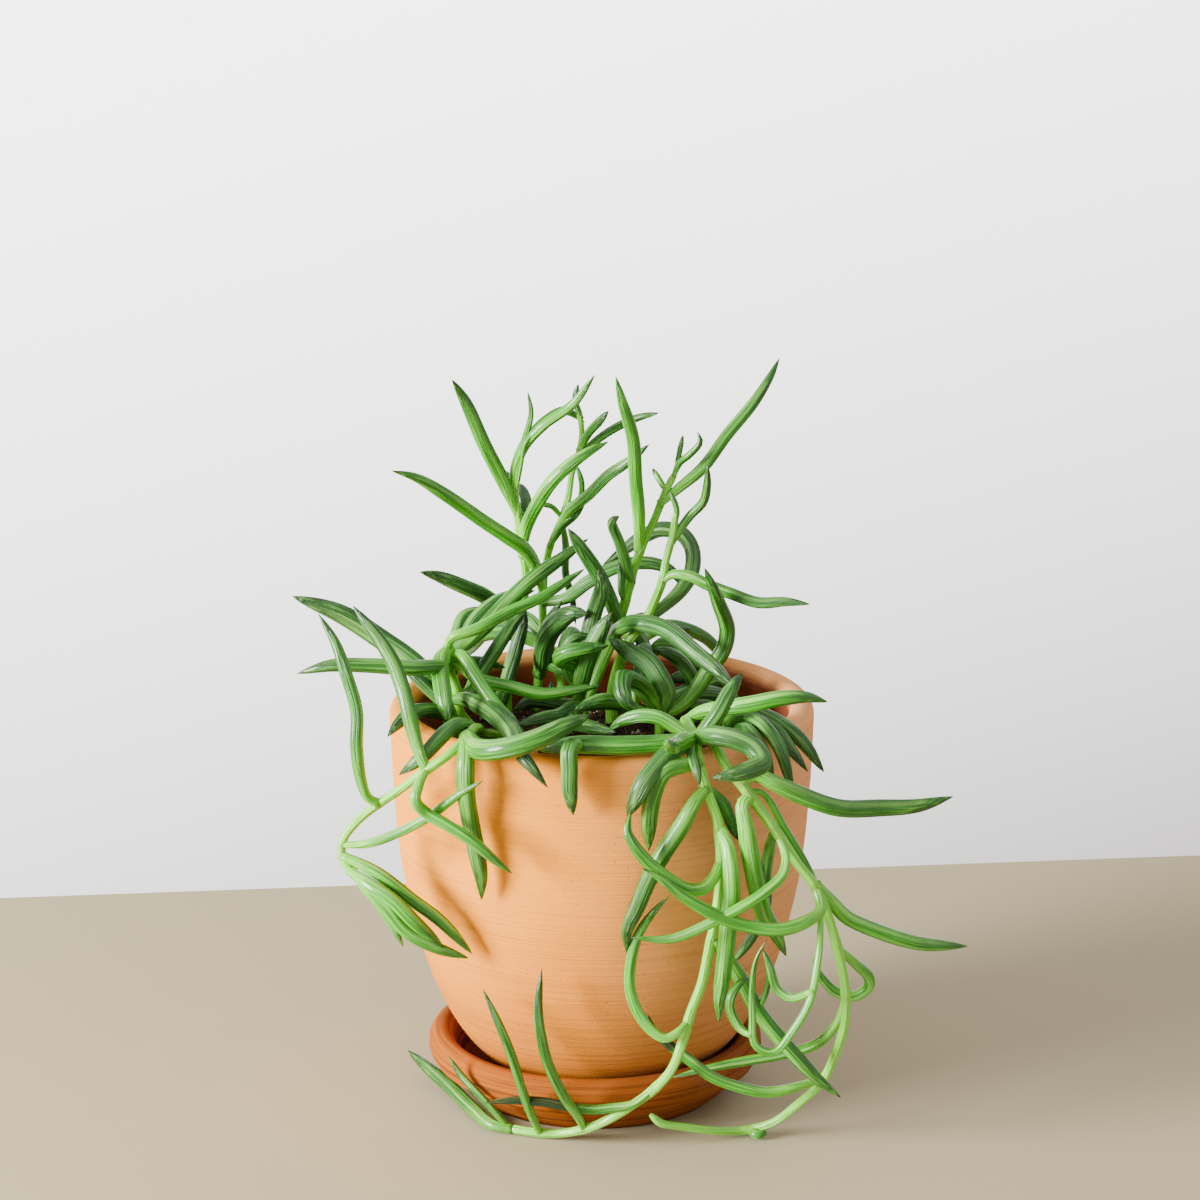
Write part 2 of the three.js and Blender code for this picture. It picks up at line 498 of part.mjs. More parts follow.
/**
 * A closed round tube through points, with a radius that radiusAt gives for each share of
 * its length, and a pointed end where pointed is true.
 */
function tube(path, sides, step, radiusAt, pointed) {
  const curve = new THREE.CatmullRomCurve3(path.map((p) => new THREE.Vector3(...p)));
  const stretches = Math.max(3, Math.round(curve.getLength() / step));
  const frames = curve.computeFrenetFrames(stretches, false);
  const rings = pointed ? stretches : stretches + 1;
  const positions = [];
  for (let i = 0; i < rings; i++) {
    const share = i / stretches;
    const centre = curve.getPointAt(share);
    for (let k = 0; k < sides; k++) {
      const angle = (2 * Math.PI * k) / sides;
      const point = centre
        .clone()
        .addScaledVector(frames.normals[i], radiusAt(share) * Math.cos(angle))
        .addScaledVector(frames.binormals[i], radiusAt(share) * Math.sin(angle));
      positions.push(point.x, point.y, point.z);
    }
  }
  positions.push(...curve.getPointAt(0).toArray(), ...curve.getPointAt(1).toArray());
  const [root, end] = [rings * sides, rings * sides + 1];
  const faces = [];
  for (let k = 0; k < sides; k++) {
    const next = (k + 1) % sides;
    for (let i = 0; i < rings - 1; i++) {
      const [a, b] = [i * sides + k, i * sides + next];
      faces.push(a, b, b + sides, a, b + sides, a + sides);
    }
    faces.push(root, next, k);
    faces.push(end, (rings - 1) * sides + k, (rings - 1) * sides + next);
  }
  const geometry = new THREE.BufferGeometry();
  geometry.setAttribute("position", new THREE.Float32BufferAttribute(positions, 3));
  geometry.setIndex(faces);
  return geometry;
}

/** How thick a leaf is along its length: it swells from its root and tapers to a point. */
function leafShape(share) {
  const swell = Math.min(share / SWELL_END, 1);
  const taper = Math.max((share - TAPER_START) / (1 - TAPER_START), 0);
  const rooted = ROOT_SHARE + (1 - ROOT_SHARE) * Math.sin((swell * Math.PI) / 2);
  return Math.max(rooted * Math.pow(1 - Math.pow(taper, TAPER_POWER), 0.85), TIP_SHARE);
}

/** One stem with its leaves, as a single solid. */
function leafyStem({ path, radii, leaves }) {
  const thin = (share) => THREE.MathUtils.lerp(radii[0], radii[1], share);
  const stem = solidOf(tube(path, STEM_SIDES, STEM_STEP, thin, false));
  return leaves.reduce((whole, one) => {
    const thick = (share) => (one.width / 2) * leafShape(share);
    return whole.add(solidOf(tube(one.path, LEAF_SIDES, LEAF_STEP, thick, true)));
  }, stem);
}

/** The hole in which a stem stands in the soil. */
function stemHole({ path, radii }) {
  const [x, y, z] = path[0];
  const top = SOIL_TOP_Z + HOLE_RISE;
  const radius = radii[0] + HOLE_GAP;
  const hole = new THREE.CylinderGeometry(radius, radius, top - z + SEAT_GAP, HOLE_SIDES);
  hole.rotateX(Math.PI / 2).translate(x, y, (top + z - SEAT_GAP) / 2);
  return solidOf(hole);
}

// Outside of the pot, from the foot to just under the lip, as [radius, height]
const potSide = [
  [POT_FOOT_RADIUS, POT_FOOT_Z],
  [35.2, 12],
  [42.2, 20],
  [48, 30],
  [52.8, 42],
  [56.3, 55],
  [59.4, 70],
  [60.9, 85],
  [61.9, 100],
  [POT_RADIUS, LIP_Z - 1],
];
const lipRadius = POT_RADIUS - LIP_SIZE;
// Inside of the pot, from under the lip down to the floor
const potInside = [
  [POT_RADIUS - 2 * LIP_SIZE, LIP_Z - 1],
  ...potSide.slice(2, -1).reverse().map(([radius, z]) => [radius - WALL, z]),
  [28, POT_FOOT_Z + FLOOR],
];
const potWithoutHole = turned([
  [0, POT_FOOT_Z],
  ...potSide,
  ...arc(lipRadius, LIP_Z, LIP_SIZE, 20, 160, 6),
  ...potInside,
  [0, POT_FOOT_Z + FLOOR],
]);
const drain = new THREE.CylinderGeometry(DRAIN_RADIUS, DRAIN_RADIUS, 6 * FLOOR, DRAIN_SIDES);
drain.rotateX(Math.PI / 2);

const saucer = turned([
  [0, 0],
  [37.6, 0],
  [41, 3],
  [44, 7],
  [48.4, 9.4],
  [49.8, 12],
  [50.1, 15],
  [48.9, 17.4],
  [46.6, 18.8],
  [44.6, 18.6],
  [43.4, 17],
  [40.4, 8],
  [38, SAUCER_FLOOR],
  [0, SAUCER_FLOOR],
]);
saucer.translate(SAUCER_X, 0, 0);

// The soil fills the pot to under its lip, a seat gap clear of the wall and the floor.
const soilSide = potInside.filter(([, z]) => z < SOIL_TOP_Z).reverse();
const soilBody = turned([
  [0, POT_FOOT_Z + FLOOR + SEAT_GAP],
  ...soilSide.map(([radius, z]) => [radius - 2 * SEAT_GAP, z + SEAT_GAP]),
  [54.1, SOIL_TOP_Z - 1.5],
  [46, SOIL_TOP_Z],
  [0, SOIL_TOP_Z],
]);

// Materials
const terracotta = new THREE.MeshStandardMaterial({ color: 0xdba26f, roughness: 0.85 });
const saucerClay = new THREE.MeshStandardMaterial({ color: 0xb9693c, roughness: 0.8 });
const soilMix = new THREE.MeshStandardMaterial({ color: 0x3b2a20, roughness: 1 });
const foliage = new THREE.MeshStandardMaterial({ color: 0x5f9a4c, roughness: 0.4 });

// The whole plant in its pot
const plant = new THREE.Group();

function addPiece(name, geometry, material) {
  const mesh = new THREE.Mesh(geometry, material);
  mesh.name = name;
  plant.add(mesh);
}

addPiece("saucer", saucer, saucerClay);
const potSolid = solidOf(potWithoutHole).subtract(solidOf(drain));
addPiece("pot", geometryOf(potSolid), terracotta);
const soilSolid = STEMS.reduce(
  (rest, stem) => rest.subtract(stemHole(stem)),
  solidOf(soilBody),
);
addPiece("soil", geometryOf(soilSolid), soilMix);
for (const stem of STEMS) {
  addPiece(stem.name, geometryOf(leafyStem(stem)), foliage);
}

export default plant;
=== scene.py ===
"""Dresses a string of bananas that grows in a terracotta pot on its saucer.

The plant trails over the rim on the -Y side. Lengths in the stem lists are in millimetres,
with +Z up and the origin on the table under the axis of the pot; meshes are in metres.
"""
import logging
import math
from dataclasses import dataclass, field
from enum import Enum
from typing import Callable, Sequence

import bpy
import numpy as np
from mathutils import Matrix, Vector, noise


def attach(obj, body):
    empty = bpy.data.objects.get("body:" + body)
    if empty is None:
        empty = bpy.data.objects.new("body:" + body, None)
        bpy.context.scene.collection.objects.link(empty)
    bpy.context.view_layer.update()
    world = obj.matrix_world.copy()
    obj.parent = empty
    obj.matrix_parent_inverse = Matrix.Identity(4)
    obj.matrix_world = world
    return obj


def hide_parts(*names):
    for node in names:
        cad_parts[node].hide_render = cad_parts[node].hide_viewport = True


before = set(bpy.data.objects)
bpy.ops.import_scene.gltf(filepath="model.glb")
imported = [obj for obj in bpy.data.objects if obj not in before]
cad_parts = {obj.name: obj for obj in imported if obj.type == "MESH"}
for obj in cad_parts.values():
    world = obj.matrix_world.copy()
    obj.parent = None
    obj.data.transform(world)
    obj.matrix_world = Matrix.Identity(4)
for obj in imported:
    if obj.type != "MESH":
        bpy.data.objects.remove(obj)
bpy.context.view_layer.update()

MM = 0.001
Point = tuple[float, float, float]
Colour = tuple[float, float, float]
Span = tuple[float, float]
log = logging.getLogger("string_of_bananas")

# The mean of a fractal noise, the fine steps between two points of a curve, and the steps in
# which a curve is first measured
GRAIN_MEAN = 0.5
CURVE_STEPS = 40
LENGTH_STEPS = 8

# Sizes shared with the solids, in millimetres, and the shape of a leaf as shares of its size
POT_RADIUS = 62.5
POT_FOOT_Z = 5.3
LIP_Z = 116.8
LIP_SIZE = 3.7
WALL = 7.2
FLOOR = 6.0
DRAIN_RADIUS = 5.0
SOIL_TOP_Z = 104.0
SAUCER_X = -2.0
SAUCER_FLOOR = 5.0
ROOT_SHARE = 0.55
SWELL_END = 0.3
TAPER_START = 0.5
TAPER_POWER = 3.4


def linear(red: int, green: int, blue: int) -> Colour:
    """A display colour as linear light.

    Args:
        red: Its red, 0 to 255.
        green: Its green.
        blue: Its blue.

    Returns:
        The three levels, 0 to 1.
    """
    def one(level: int) -> float:
        """One level as linear light."""
        share = level / 255
        return share / 12.92 if share <= 0.04045 else ((share + 0.055) / 1.055) ** 2.4
    return (one(red), one(green), one(blue))


class Age(Enum):
    """How old a leaf is, which sets its green."""

    YOUNG = 1.0
    GROWN = 0.62
    OLD = 0.3


@dataclass(frozen=True)
class Leaf:
    """One leaf: its greatest thickness and its middle line, in millimetres."""

    width: float
    path: tuple[Point, ...]
    age: Age | None = None
    dry: float = 0.0


def leaf(width: float, *path: Point, age: Age | None = None, dry: float = 0.0) -> Leaf:
    """A leaf from its thickness and the points of its middle line, root first."""
    return Leaf(width, path, age, dry)


@dataclass(frozen=True)
class Stem:
    """A stem with its leaves. It starts under the soil. Radii are of its root and its end."""

    node: str
    age: Age
    radii: tuple[float, float]
    path: tuple[Point, ...]
    leaves: tuple[Leaf, ...]


STEMS: tuple[Stem, ...] = (
    Stem("left_shoot", Age.YOUNG, (1.5, 1.2), (
        (-29, 39, 96), (-29, 39, 107), (-29, 39, 115), (-26, 38, 126), (-24, 37, 138),
        (-23, 36, 149), (-24, 35, 157), (-25, 34, 166), (-26, 33, 174),
    ), (
        leaf(4.2,
             (-25, 34, 168), (-30, 31, 180), (-35, 28, 191), (-40, 24, 204), (-44, 20, 212),
             age=Age.GROWN),
        leaf(1.9, (-26, 33, 173), (-25, 31, 185), (-23, 30, 192), (-21, 29, 200), (-22, 28, 207)),
        leaf(1.3, (-26, 33, 174), (-24, 29, 185), (-23, 27, 191), (-20, 27, 195)),
        leaf(3,
             (-26, 33, 173), (-26, 32, 182), (-23, 29, 190), (-17, 27, 197), (-9, 26, 203),
             (-2, 22, 213)),
        leaf(3.2,
             (-26, 33, 173), (-26, 34, 182), (-22, 35, 191), (-16, 36, 197), (-11, 38, 199),
             (-5, 40, 195)),
        leaf(3.2, (-25, 34, 168), (-28, 42, 174), (-29, 50, 178), age=Age.OLD),
        leaf(4.2,
             (-24, 35, 155), (-23, 30, 164), (-20, 25, 172), (-14, 21, 182), (-6, 20, 189),
             (2, 22, 193)),
        leaf(3.4, (-25, 34, 163), (-23, 40, 170), (-25, 50, 174), age=Age.OLD),
        leaf(4.4,
             (-29, 39, 112), (-31, 34, 109), (-29, 32, 116), (-26, 31, 127), (-24, 31, 134),
             (-23, 31, 140), age=Age.OLD),
        leaf(4.8,
             (-25, 38, 128), (-29, 34, 137), (-35, 28, 144), (-42, 22, 149), (-49, 18, 153),
             (-54, 15, 155), age=Age.OLD),
    )),
    Stem("centre_shoot", Age.GROWN, (1.5, 0.8), (
        (-20, 45, 96), (-20, 45, 107), (-19, 43, 120), (-18, 42, 130), (-18, 41, 140),
        (-17, 40, 151), (-15, 39, 159), (-12, 38, 166), (-10, 38, 173), (-9, 37, 180),
        (-7, 37, 186), (-6, 36, 193), (-7, 36, 200),
    ), (
        leaf(1.8, (-6, 36, 197), (-8, 35, 203), (-7, 34, 208)),
        leaf(2.7, (-7, 37, 187), (-4, 34, 193), (-1, 31, 197), (2, 28, 201)),
        leaf(2.6,
             (-7, 37, 185), (-3, 37, 189), (2, 36, 193), (7, 35, 196), (11, 33, 198),
             (17, 30, 200)),
        leaf(2, (-11, 38, 170), (-7, 35, 172), (-6, 33, 177), (-7, 32, 182), (-8, 32, 184)),
        leaf(1.6, (-12, 38, 166), (-15, 36, 170), (-18, 35, 171), (-21, 34, 172)),
        leaf(3.4,
             (-13, 38, 163), (-10, 34, 169), (-4, 30, 175), (2, 26, 182), (8, 22, 187),
             (14, 18, 193)),
        leaf(2.6, (-16, 39, 157), (-12, 36, 164), (-8, 34, 168), (-5, 33, 172)),
        leaf(2.4,
             (-12, 38, 165), (-11, 41, 157), (-11, 43, 147), (-9, 44, 139), (-8, 44, 131),
             age=Age.OLD),
        leaf(4.2,
             (-18, 41, 143), (-20, 34, 152), (-23, 27, 159), (-27, 23, 163), (-35, 17, 170),
             (-45, 10, 179), (-54, 4, 186), (-61, 0, 189), age=Age.YOUNG),
        leaf(4.2,
             (-18, 41, 139), (-11, 38, 141), (-4, 35, 147), (5, 34, 152), (15, 34, 153),
             (21, 32, 151), (26, 30, 145), age=Age.OLD),
        leaf(4.8, (-19, 43, 120), (-15, 36, 121), (-11, 30, 121), (-7, 26, 120), age=Age.OLD),
        leaf(2.4, (-18, 42, 127), (-17, 38, 133), (-14, 36, 138), (-12, 35, 141), age=Age.GROWN),
        leaf(6.8,
             (-19, 44, 116), (-18, 37, 122), (-17, 29, 130), (-14, 22, 137), (-9, 16, 142),
             (-4, 12, 143), age=Age.OLD),
    )),
    Stem("tall_shoot", Age.GROWN, (2, 1), (
        (-6, 28, 96), (-6, 28, 107), (-4, 28, 113), (0, 28, 123), (3, 28, 130), (6, 27, 139),
        (8, 26, 147), (10, 25, 155), (13, 24, 163), (16, 23, 170), (19, 22, 178), (22, 22, 184),
    ), (
        leaf(4.3,
             (11, 25, 159), (11, 20, 170), (10, 17, 182), (9, 14, 196), (6, 11, 207), (4, 9, 215),
             age=Age.YOUNG),
        leaf(3.6,
             (17, 22, 174), (23, 22, 179), (30, 23, 185), (37, 26, 194), (45, 30, 203),
             (50, 34, 210), (53, 38, 215), age=Age.GROWN),
        leaf(1.6, (22, 22, 184), (23, 22, 190), (24, 22, 195)),
        leaf(2.1, (21, 22, 182), (23, 20, 187), (26, 18, 190), (29, 17, 194), (28, 17, 197)),
        leaf(1.8, (19, 22, 178), (17, 24, 181), (15, 26, 184)),
        leaf(3.5,
             (9, 26, 149), (7, 20, 157), (5, 12, 165), (3, 3, 173), (5, -2, 176),
             age=Age.OLD, dry=0.08),
        leaf(5, (5, 28, 135), (3, 23, 143), (-1, 19, 153), (-6, 15, 162), (-10, 12, 169),
        age=Age.OLD),
        leaf(4.8, (-4, 28, 113), (-4, 33, 117), (-1, 35, 124), (2, 36, 130), (5, 37, 137)),
        leaf(2.6, (7, 26, 143), (6, 26, 147), (6, 27, 151), (5, 27, 155), age=Age.OLD),
        leaf(5.5,
             (4, 28, 132), (6, 19, 137), (11, 9, 141), (19, 5, 140), (27, -1, 135), (34, -9, 131),
             (39, -14, 127), age=Age.OLD),
    )),
    Stem("right_shoot", Age.GROWN, (2.1, 0.9), (
        (3, 21, 96), (3, 21, 107), (3, 22, 114), (5, 21, 124), (8, 20, 132), (13, 19, 139),
        (16, 18, 146), (18, 17, 152), (19, 17, 158), (21, 17, 166), (22, 17, 174),
    ), (
        leaf(1.8, (22, 17, 170), (22, 17, 174), (20, 18, 179)),
        leaf(2.7,
             (20, 17, 162), (23, 18, 167), (26, 19, 171), (30, 17, 176), (31, 15, 182),
             (31, 13, 188)),
        leaf(3.5,
             (18, 17, 152), (21, 16, 154), (26, 14, 154), (31, 12, 152), (38, 9, 150),
             (46, 6, 148), (54, 3, 149), (61, 0, 149), age=Age.GROWN),
        leaf(4.6,
             (13, 19, 139), (19, 22, 143), (24, 26, 147), (27, 29, 152), (27, 32, 158),
             (24, 34, 162), (18, 36, 163), (12, 38, 160), (6, 40, 155), (0, 42, 150), age=Age.OLD),
        leaf(2.6, (12, 19, 138), (17, 23, 136), (22, 26, 135), (27, 28, 134), age=Age.OLD),
    )),
    Stem("left_crown", Age.YOUNG, (1.5, 1.3), (
        (-38, 10, 96), (-38, 10, 107), (-42, 7, 114), (-43, 4, 122), (-45, 0, 131), (-45, -2, 137),
    ), (
        leaf(3.5,
             (-45, -2, 136), (-44, -5, 140), (-36, -5, 143), (-27, -1, 147), (-18, 4, 150),
             (-5, 11, 157)),
        leaf(4.6,
             (-45, 0, 132), (-40, 4, 136), (-34, 7, 141), (-29, 10, 146), (-21, 13, 153),
             (-12, 20, 158), (-4, 24, 163), age=Age.GROWN),
        leaf(4.6,
             (-45, 0, 132), (-41, 9, 135), (-38, 14, 140), (-33, 18, 144), (-27, 22, 146),
             (-20, 24, 147), age=Age.OLD),
        leaf(4.2,
             (-43, 4, 121), (-40, 6, 120), (-37, 9, 124), (-32, 13, 131), (-27, 16, 138),
             (-22, 18, 144), age=Age.GROWN),
        leaf(3.6, (-45, 1, 129), (-42, 12, 128), (-36, 20, 126), (-29, 24, 123), age=Age.GROWN),
        leaf(4.4,
             (-44, 1, 128), (-43, 10, 133), (-43, 16, 136), (-41, 20, 140), (-36, 22, 141),
             (-30, 24, 142), age=Age.OLD),
        leaf(5.2, (-45, -2, 136), (-47, -10, 134), (-46, -19, 128), (-44, -25, 120)),
        leaf(4.2, (-45, -1, 132), (-41, -6, 135), (-37, -10, 130), (-30, -17, 122), (-22, -24, 117)),
        leaf(3.7,
             (-45, 0, 131), (-42, -4, 132), (-36, -6, 128), (-27, -7, 126), (-17, -8, 124),
             (-8, -7, 125), (0, -6, 126), age=Age.YOUNG),
        leaf(4.5,
             (-45, 0, 130), (-48, -14, 134), (-55, -19, 135), (-67, -20, 136), (-78, -20, 136),
             (-88, -18, 133), age=Age.GROWN),
        leaf(5.6,
             (-43, 5, 119), (-39, -4, 121), (-32, -20, 122), (-27, -38, 123), (-24, -53, 124),
             (-22, -63, 122), (-18, -67, 118), (-15, -67, 114), age=Age.OLD),
    )),
    Stem("left_trail", Age.YOUNG, (1.5, 1.2), (
        (-27, -2, 96), (-27, -2, 107), (-29, -5, 109), (-32, -12, 113), (-34, -22, 116),
        (-36, -36, 122), (-38, -48, 123), (-43, -56, 120), (-50, -56, 115), (-57, -50, 108),
        (-64, -46, 102), (-70, -43, 96), (-74, -42, 90), (-74, -43, 85), (-70, -44, 81),
    ), (
        leaf(6.2,
             (-38, -48, 123), (-34, -60, 123), (-27, -66, 125), (-18, -67, 128), (-10, -64, 131),
             (-3, -60, 133), age=Age.GROWN),
        leaf(4.2,
             (-49, -56, 116), (-50, -56, 118), (-52, -54, 123), (-54, -52, 131), (-56, -49, 138),
             (-59, -46, 145), (-64, -43, 152), (-70, -40, 159), age=Age.GROWN),
        leaf(3.7,
             (-63, -47, 103), (-66, -48, 105), (-68, -49, 111), (-69, -48, 120), (-69, -46, 130),
             (-72, -43, 140), (-75, -40, 148), (-80, -37, 156), age=Age.GROWN),
        leaf(2.8,
             (-74, -42, 89), (-67, -47, 91), (-58, -53, 96), (-48, -58, 103), (-40, -61, 110),
             (-33, -64, 115)),
        leaf(3.5,
             (-49, -56, 116), (-51, -61, 113), (-52, -63, 109), (-49, -62, 105), (-43, -64, 102),
             (-36, -66, 98), (-30, -67, 93), (-25, -67, 89)),
        leaf(5,
             (-38, -48, 123), (-38, -59, 120), (-38, -60, 111), (-37, -58, 102), (-35, -58, 91),
             (-34, -57, 84), (-34, -55, 77), age=Age.GROWN),
        leaf(3.8,
             (-74, -43, 86), (-68, -45, 84), (-62, -47, 81), (-54, -49, 75), (-46, -50, 69),
             (-37, -50, 59)),
        leaf(3.8,
             (-71, -44, 82), (-67, -48, 78), (-61, -51, 73), (-56, -52, 67), (-48, -52, 62),
             (-38, -51, 58), age=Age.YOUNG),
        leaf(4.2, (-72, -44, 82), (-65, -50, 79), (-59, -53, 76), (-53, -54, 70), (-45, -53, 62)),
        leaf(2.4, (-70, -44, 81), (-66, -45, 76), (-62, -45, 69), (-59, -45, 64), (-57, -44, 59)),
        leaf(4.4,
             (-35, -31, 120), (-40, -36, 123), (-44, -47, 124), (-50, -53, 119), (-57, -52, 113),
             age=Age.OLD),
    )),
    Stem("left_rim", Age.OLD, (1.4, 1.2), (
        (-44, -6, 96), (-44, -6, 107), (-43, -9, 112), (-44, -12, 118),
    ), (
        leaf(6,
             (-44, -12, 117), (-47, -9, 124), (-54, -6, 132), (-64, -4, 139), (-76, -4, 147),
             (-90, -6, 153), age=Age.OLD),
        leaf(4.3, (-44, -11, 117), (-48, -16, 121), (-54, -27, 124), (-58, -35, 123), (-61, -38, 120)),
        leaf(4, (-43, -10, 115), (-45, -12, 121), (-49, -11, 125), (-54, -9, 129), (-58, -7, 132)),
    )),
    Stem("right_front_trail", Age.YOUNG, (1.6, 1.3), (
        (26, -6, 96), (26, -6, 107), (25, -15, 113), (24, -26, 121), (25, -39, 123),
        (26, -51, 123), (27, -62, 119), (29, -64, 112), (32, -64, 104), (33, -64, 95),
        (33, -64, 86), (32, -64, 76), (30, -64, 65), (28, -64, 55), (25, -63, 46), (23, -63, 38),
        (20, -62, 29), (15, -58, 21), (9, -55, 15), (2, -54, 10), (-5, -50, 5.3), (-13, -46, 2.2),
        (-21, -44, 1.9), (-28, -41, 1.9),
    ), (
        leaf(5,
             (26, -50, 123), (27, -53, 124), (32, -54, 131), (36, -52, 138), (39, -50, 142),
             age=Age.GROWN),
        leaf(4.6,
             (24, -26, 121), (28, -31, 125), (35, -36, 128), (42, -39, 130), (51, -40, 132),
             (58, -39, 132), (64, -37, 130)),
        leaf(4,
             (26, -49, 123), (22, -48, 125), (16, -46, 128), (11, -44, 128), (6, -42, 126),
             (2, -41, 123)),
        leaf(5.8,
             (26, -50, 123), (20, -57, 124), (13, -59, 124), (4, -60, 124), (-6, -59, 124),
             (-14, -58, 123), (-20, -55, 122), age=Age.GROWN),
        leaf(5, (26, -50, 123), (23, -58, 125), (20, -66, 126), (19, -76, 129), (18, -84, 132)),
        leaf(5.4,
             (26, -55, 122), (22, -60, 124), (17, -66, 122), (12, -70, 117), (9, -70, 111),
             (7, -68, 106), age=Age.OLD),
        leaf(5,
             (27, -62, 119), (23, -65, 120), (17, -68, 119), (14, -67, 112), (13, -66, 104),
             (13, -65, 95), age=Age.GROWN),
        leaf(5.6,
             (26, -50, 123), (31, -60, 127), (37, -64, 127), (42, -66, 125), (44, -69, 122),
             (41, -72, 121), (36, -74, 120), (30, -74, 119), age=Age.OLD),
        leaf(3.8,
             (29, -64, 113), (31, -61, 110), (34, -61, 107), (36, -61, 102), (38, -62, 97),
             age=Age.OLD),
        leaf(5,
             (29, -64, 113), (26, -66, 110), (22, -67, 103), (17, -67, 95), (13, -66, 87),
             (10, -65, 79), (7, -64, 71), (7, -63, 64), age=Age.GROWN),
        leaf(3.8,
             (33, -64, 91), (31, -68, 88), (28, -71, 86), (24, -72, 86), (19, -73, 89),
             (13, -73, 94), (9, -73, 99), (7, -72, 103), (8, -70, 108)),
        leaf(4.8,
             (33, -64, 101), (35, -68, 96), (36, -70, 85), (35, -70, 73), (34, -69, 61),
             (33, -67, 52), (33, -65, 44)),
        leaf(3.2, (26, -51, 123), (25, -61, 122), (26, -69, 120), (27, -71, 116), age=Age.OLD),
        leaf(5,
             (-6, -59, 124), (-9, -66, 125), (-9, -67, 119), (-9, -67, 114), (-8, -67, 106),
             age=Age.OLD),
        leaf(4.4,
             (31, -64, 68), (36, -62, 61), (40, -61, 54), (44, -61, 46), (52, -62, 36),
             (61, -62, 26), (68, -62, 20), age=Age.GROWN),
        leaf(1.8, (44, -61, 46), (46, -62, 51), (47, -62, 57), (46, -62, 64), age=Age.GROWN),
        leaf(3.2,
             (24, -63, 43), (22, -66, 42), (18, -67, 40), (14, -66, 42), (10, -64, 47),
             (8, -63, 53), (8, -63, 60), (10, -63, 69), (14, -64, 76), (19, -65, 82)),
        leaf(2.8,
             (15, -58, 21), (9, -57, 16), (3, -55, 14), (-3, -54, 13), (-10, -54, 14),
             (-17, -53, 15), (-25, -52, 15), (-34, -49, 13), age=Age.GROWN, dry=0.5),
        leaf(3,
             (-5, -50, 5.2), (-7, -54, 11), (-11, -58, 19), (-15, -61, 29), (-17, -63, 38),
             (-18, -63, 47), (-17, -62, 59), age=Age.GROWN),
        leaf(2.7,
             (-18, -45, 1.9), (-20, -50, 9), (-23, -55, 20), (-26, -58, 32), (-30, -57, 42),
             (-34, -54, 50), age=Age.GROWN),
        leaf(4.2,
             (-26, -42, 1.9), (-32, -40, 2.4), (-38, -31, 3.5), (-45, -17, 4.5), (-52, -6, 6),
             (-59, 4, 8), age=Age.GROWN),
        leaf(2.2,
             (-27, -41, 1.9), (-31, -42, 7), (-36, -40, 12), (-41, -36, 16), (-45, -33, 21),
             age=Age.GROWN),
    )),
    Stem("right_trail", Age.YOUNG, (1.6, 1.2), (
        (34, -14, 96), (34, -14, 107), (31, -26, 117), (31, -41, 122), (32, -54, 122),
        (35, -63, 118), (38, -64, 115), (43, -64, 108), (50, -64, 98), (55, -63, 90),
        (60, -62, 83), (64, -61, 73), (67, -60, 62), (69, -59, 51), (69, -58, 41), (67, -56, 32),
        (63, -53, 21), (57, -49, 13), (50, -46, 5.8), (42, -43, 2), (33, -47, 3.4), (23, -50, 6),
        (17, -52, 8), (14, -53, 11),
    ), (
        leaf(3.8,
             (60, -62, 83), (61, -66, 78), (57, -70, 76), (49, -74, 75), (39, -76, 77),
             (30, -77, 81), (22, -77, 86), (16, -77, 91), (11, -77, 94)),
        leaf(3,
             (49, -64, 99), (51, -68, 94), (50, -71, 90), (45, -74, 86), (38, -76, 82),
             (30, -77, 78), (19, -76, 73), (8, -75, 73)),
        leaf(4.2,
             (60, -62, 84), (64, -60, 79), (69, -58, 73), (79, -57, 68), (90, -55, 64),
             (104, -52, 62)),
        leaf(3,
             (66, -60, 65), (72, -56, 58), (76, -53, 53), (76, -51, 49), (72, -50, 46),
             (67, -49, 47), (63, -49, 51), (61, -49, 55), (61, -49, 59)),
        leaf(2.8,
             (69, -59, 49), (67, -57, 41), (62, -55, 34), (54, -53, 30), (43, -51, 27),
             (32, -49, 24), (20, -47, 20)),
        leaf(3.2,
             (63, -53, 22), (55, -57, 21), (47, -58, 20), (38, -58, 22), (31, -58, 25),
             (25, -56, 29), (19, -54, 33), (15, -53, 37), (13, -53, 42), age=Age.YOUNG, dry=0.22),
        leaf(2.6, (43, -43, 2.1), (45, -46, 1.9), (48, -44, 1.9)),
        leaf(2.2, (40, -64, 112), (45, -60, 110), (51, -60, 100), (57, -60, 90), (61, -61, 83)),
        leaf(5,
             (41, -64, 110), (39, -66, 109), (40, -67, 102), (42, -66, 90), (45, -64, 77),
             (49, -62, 69), (52, -60, 62)),
        leaf(3.6,
             (48, -64, 101), (47, -60, 95), (46, -57, 85), (46, -57, 76), (42, -57, 66),
             (36, -55, 57), age=Age.OLD),
        leaf(5,
             (38, -64, 115), (43, -62, 116), (48, -63, 114), (56, -62, 110), (66, -60, 106),
             (78, -54, 104), (89, -52, 104), (99, -50, 106), age=Age.GROWN),
        leaf(2.2,
             (61, -62, 81), (61, -68, 73), (60, -72, 64), (58, -74, 54), (53, -75, 45),
             (48, -75, 39), (43, -75, 41), (42, -74, 50), (42, -73, 58), (43, -73, 66),
             (46, -73, 72)),
        leaf(2.4, (59, -74, 57), (53, -72, 54), (49, -70, 56), (47, -69, 62), (45, -68, 67)),
        leaf(2.6,
             (42, -75, 44), (39, -73, 45), (36, -72, 50), (36, -72, 54), (38, -70, 57),
             (41, -66, 58), age=Age.GROWN),
    )),
    Stem("right_rim", Age.OLD, (1.4, 1.2), (
        (43, -5, 96), (43, -5, 107), (38, -13, 112), (36, -20, 119),
    ), (
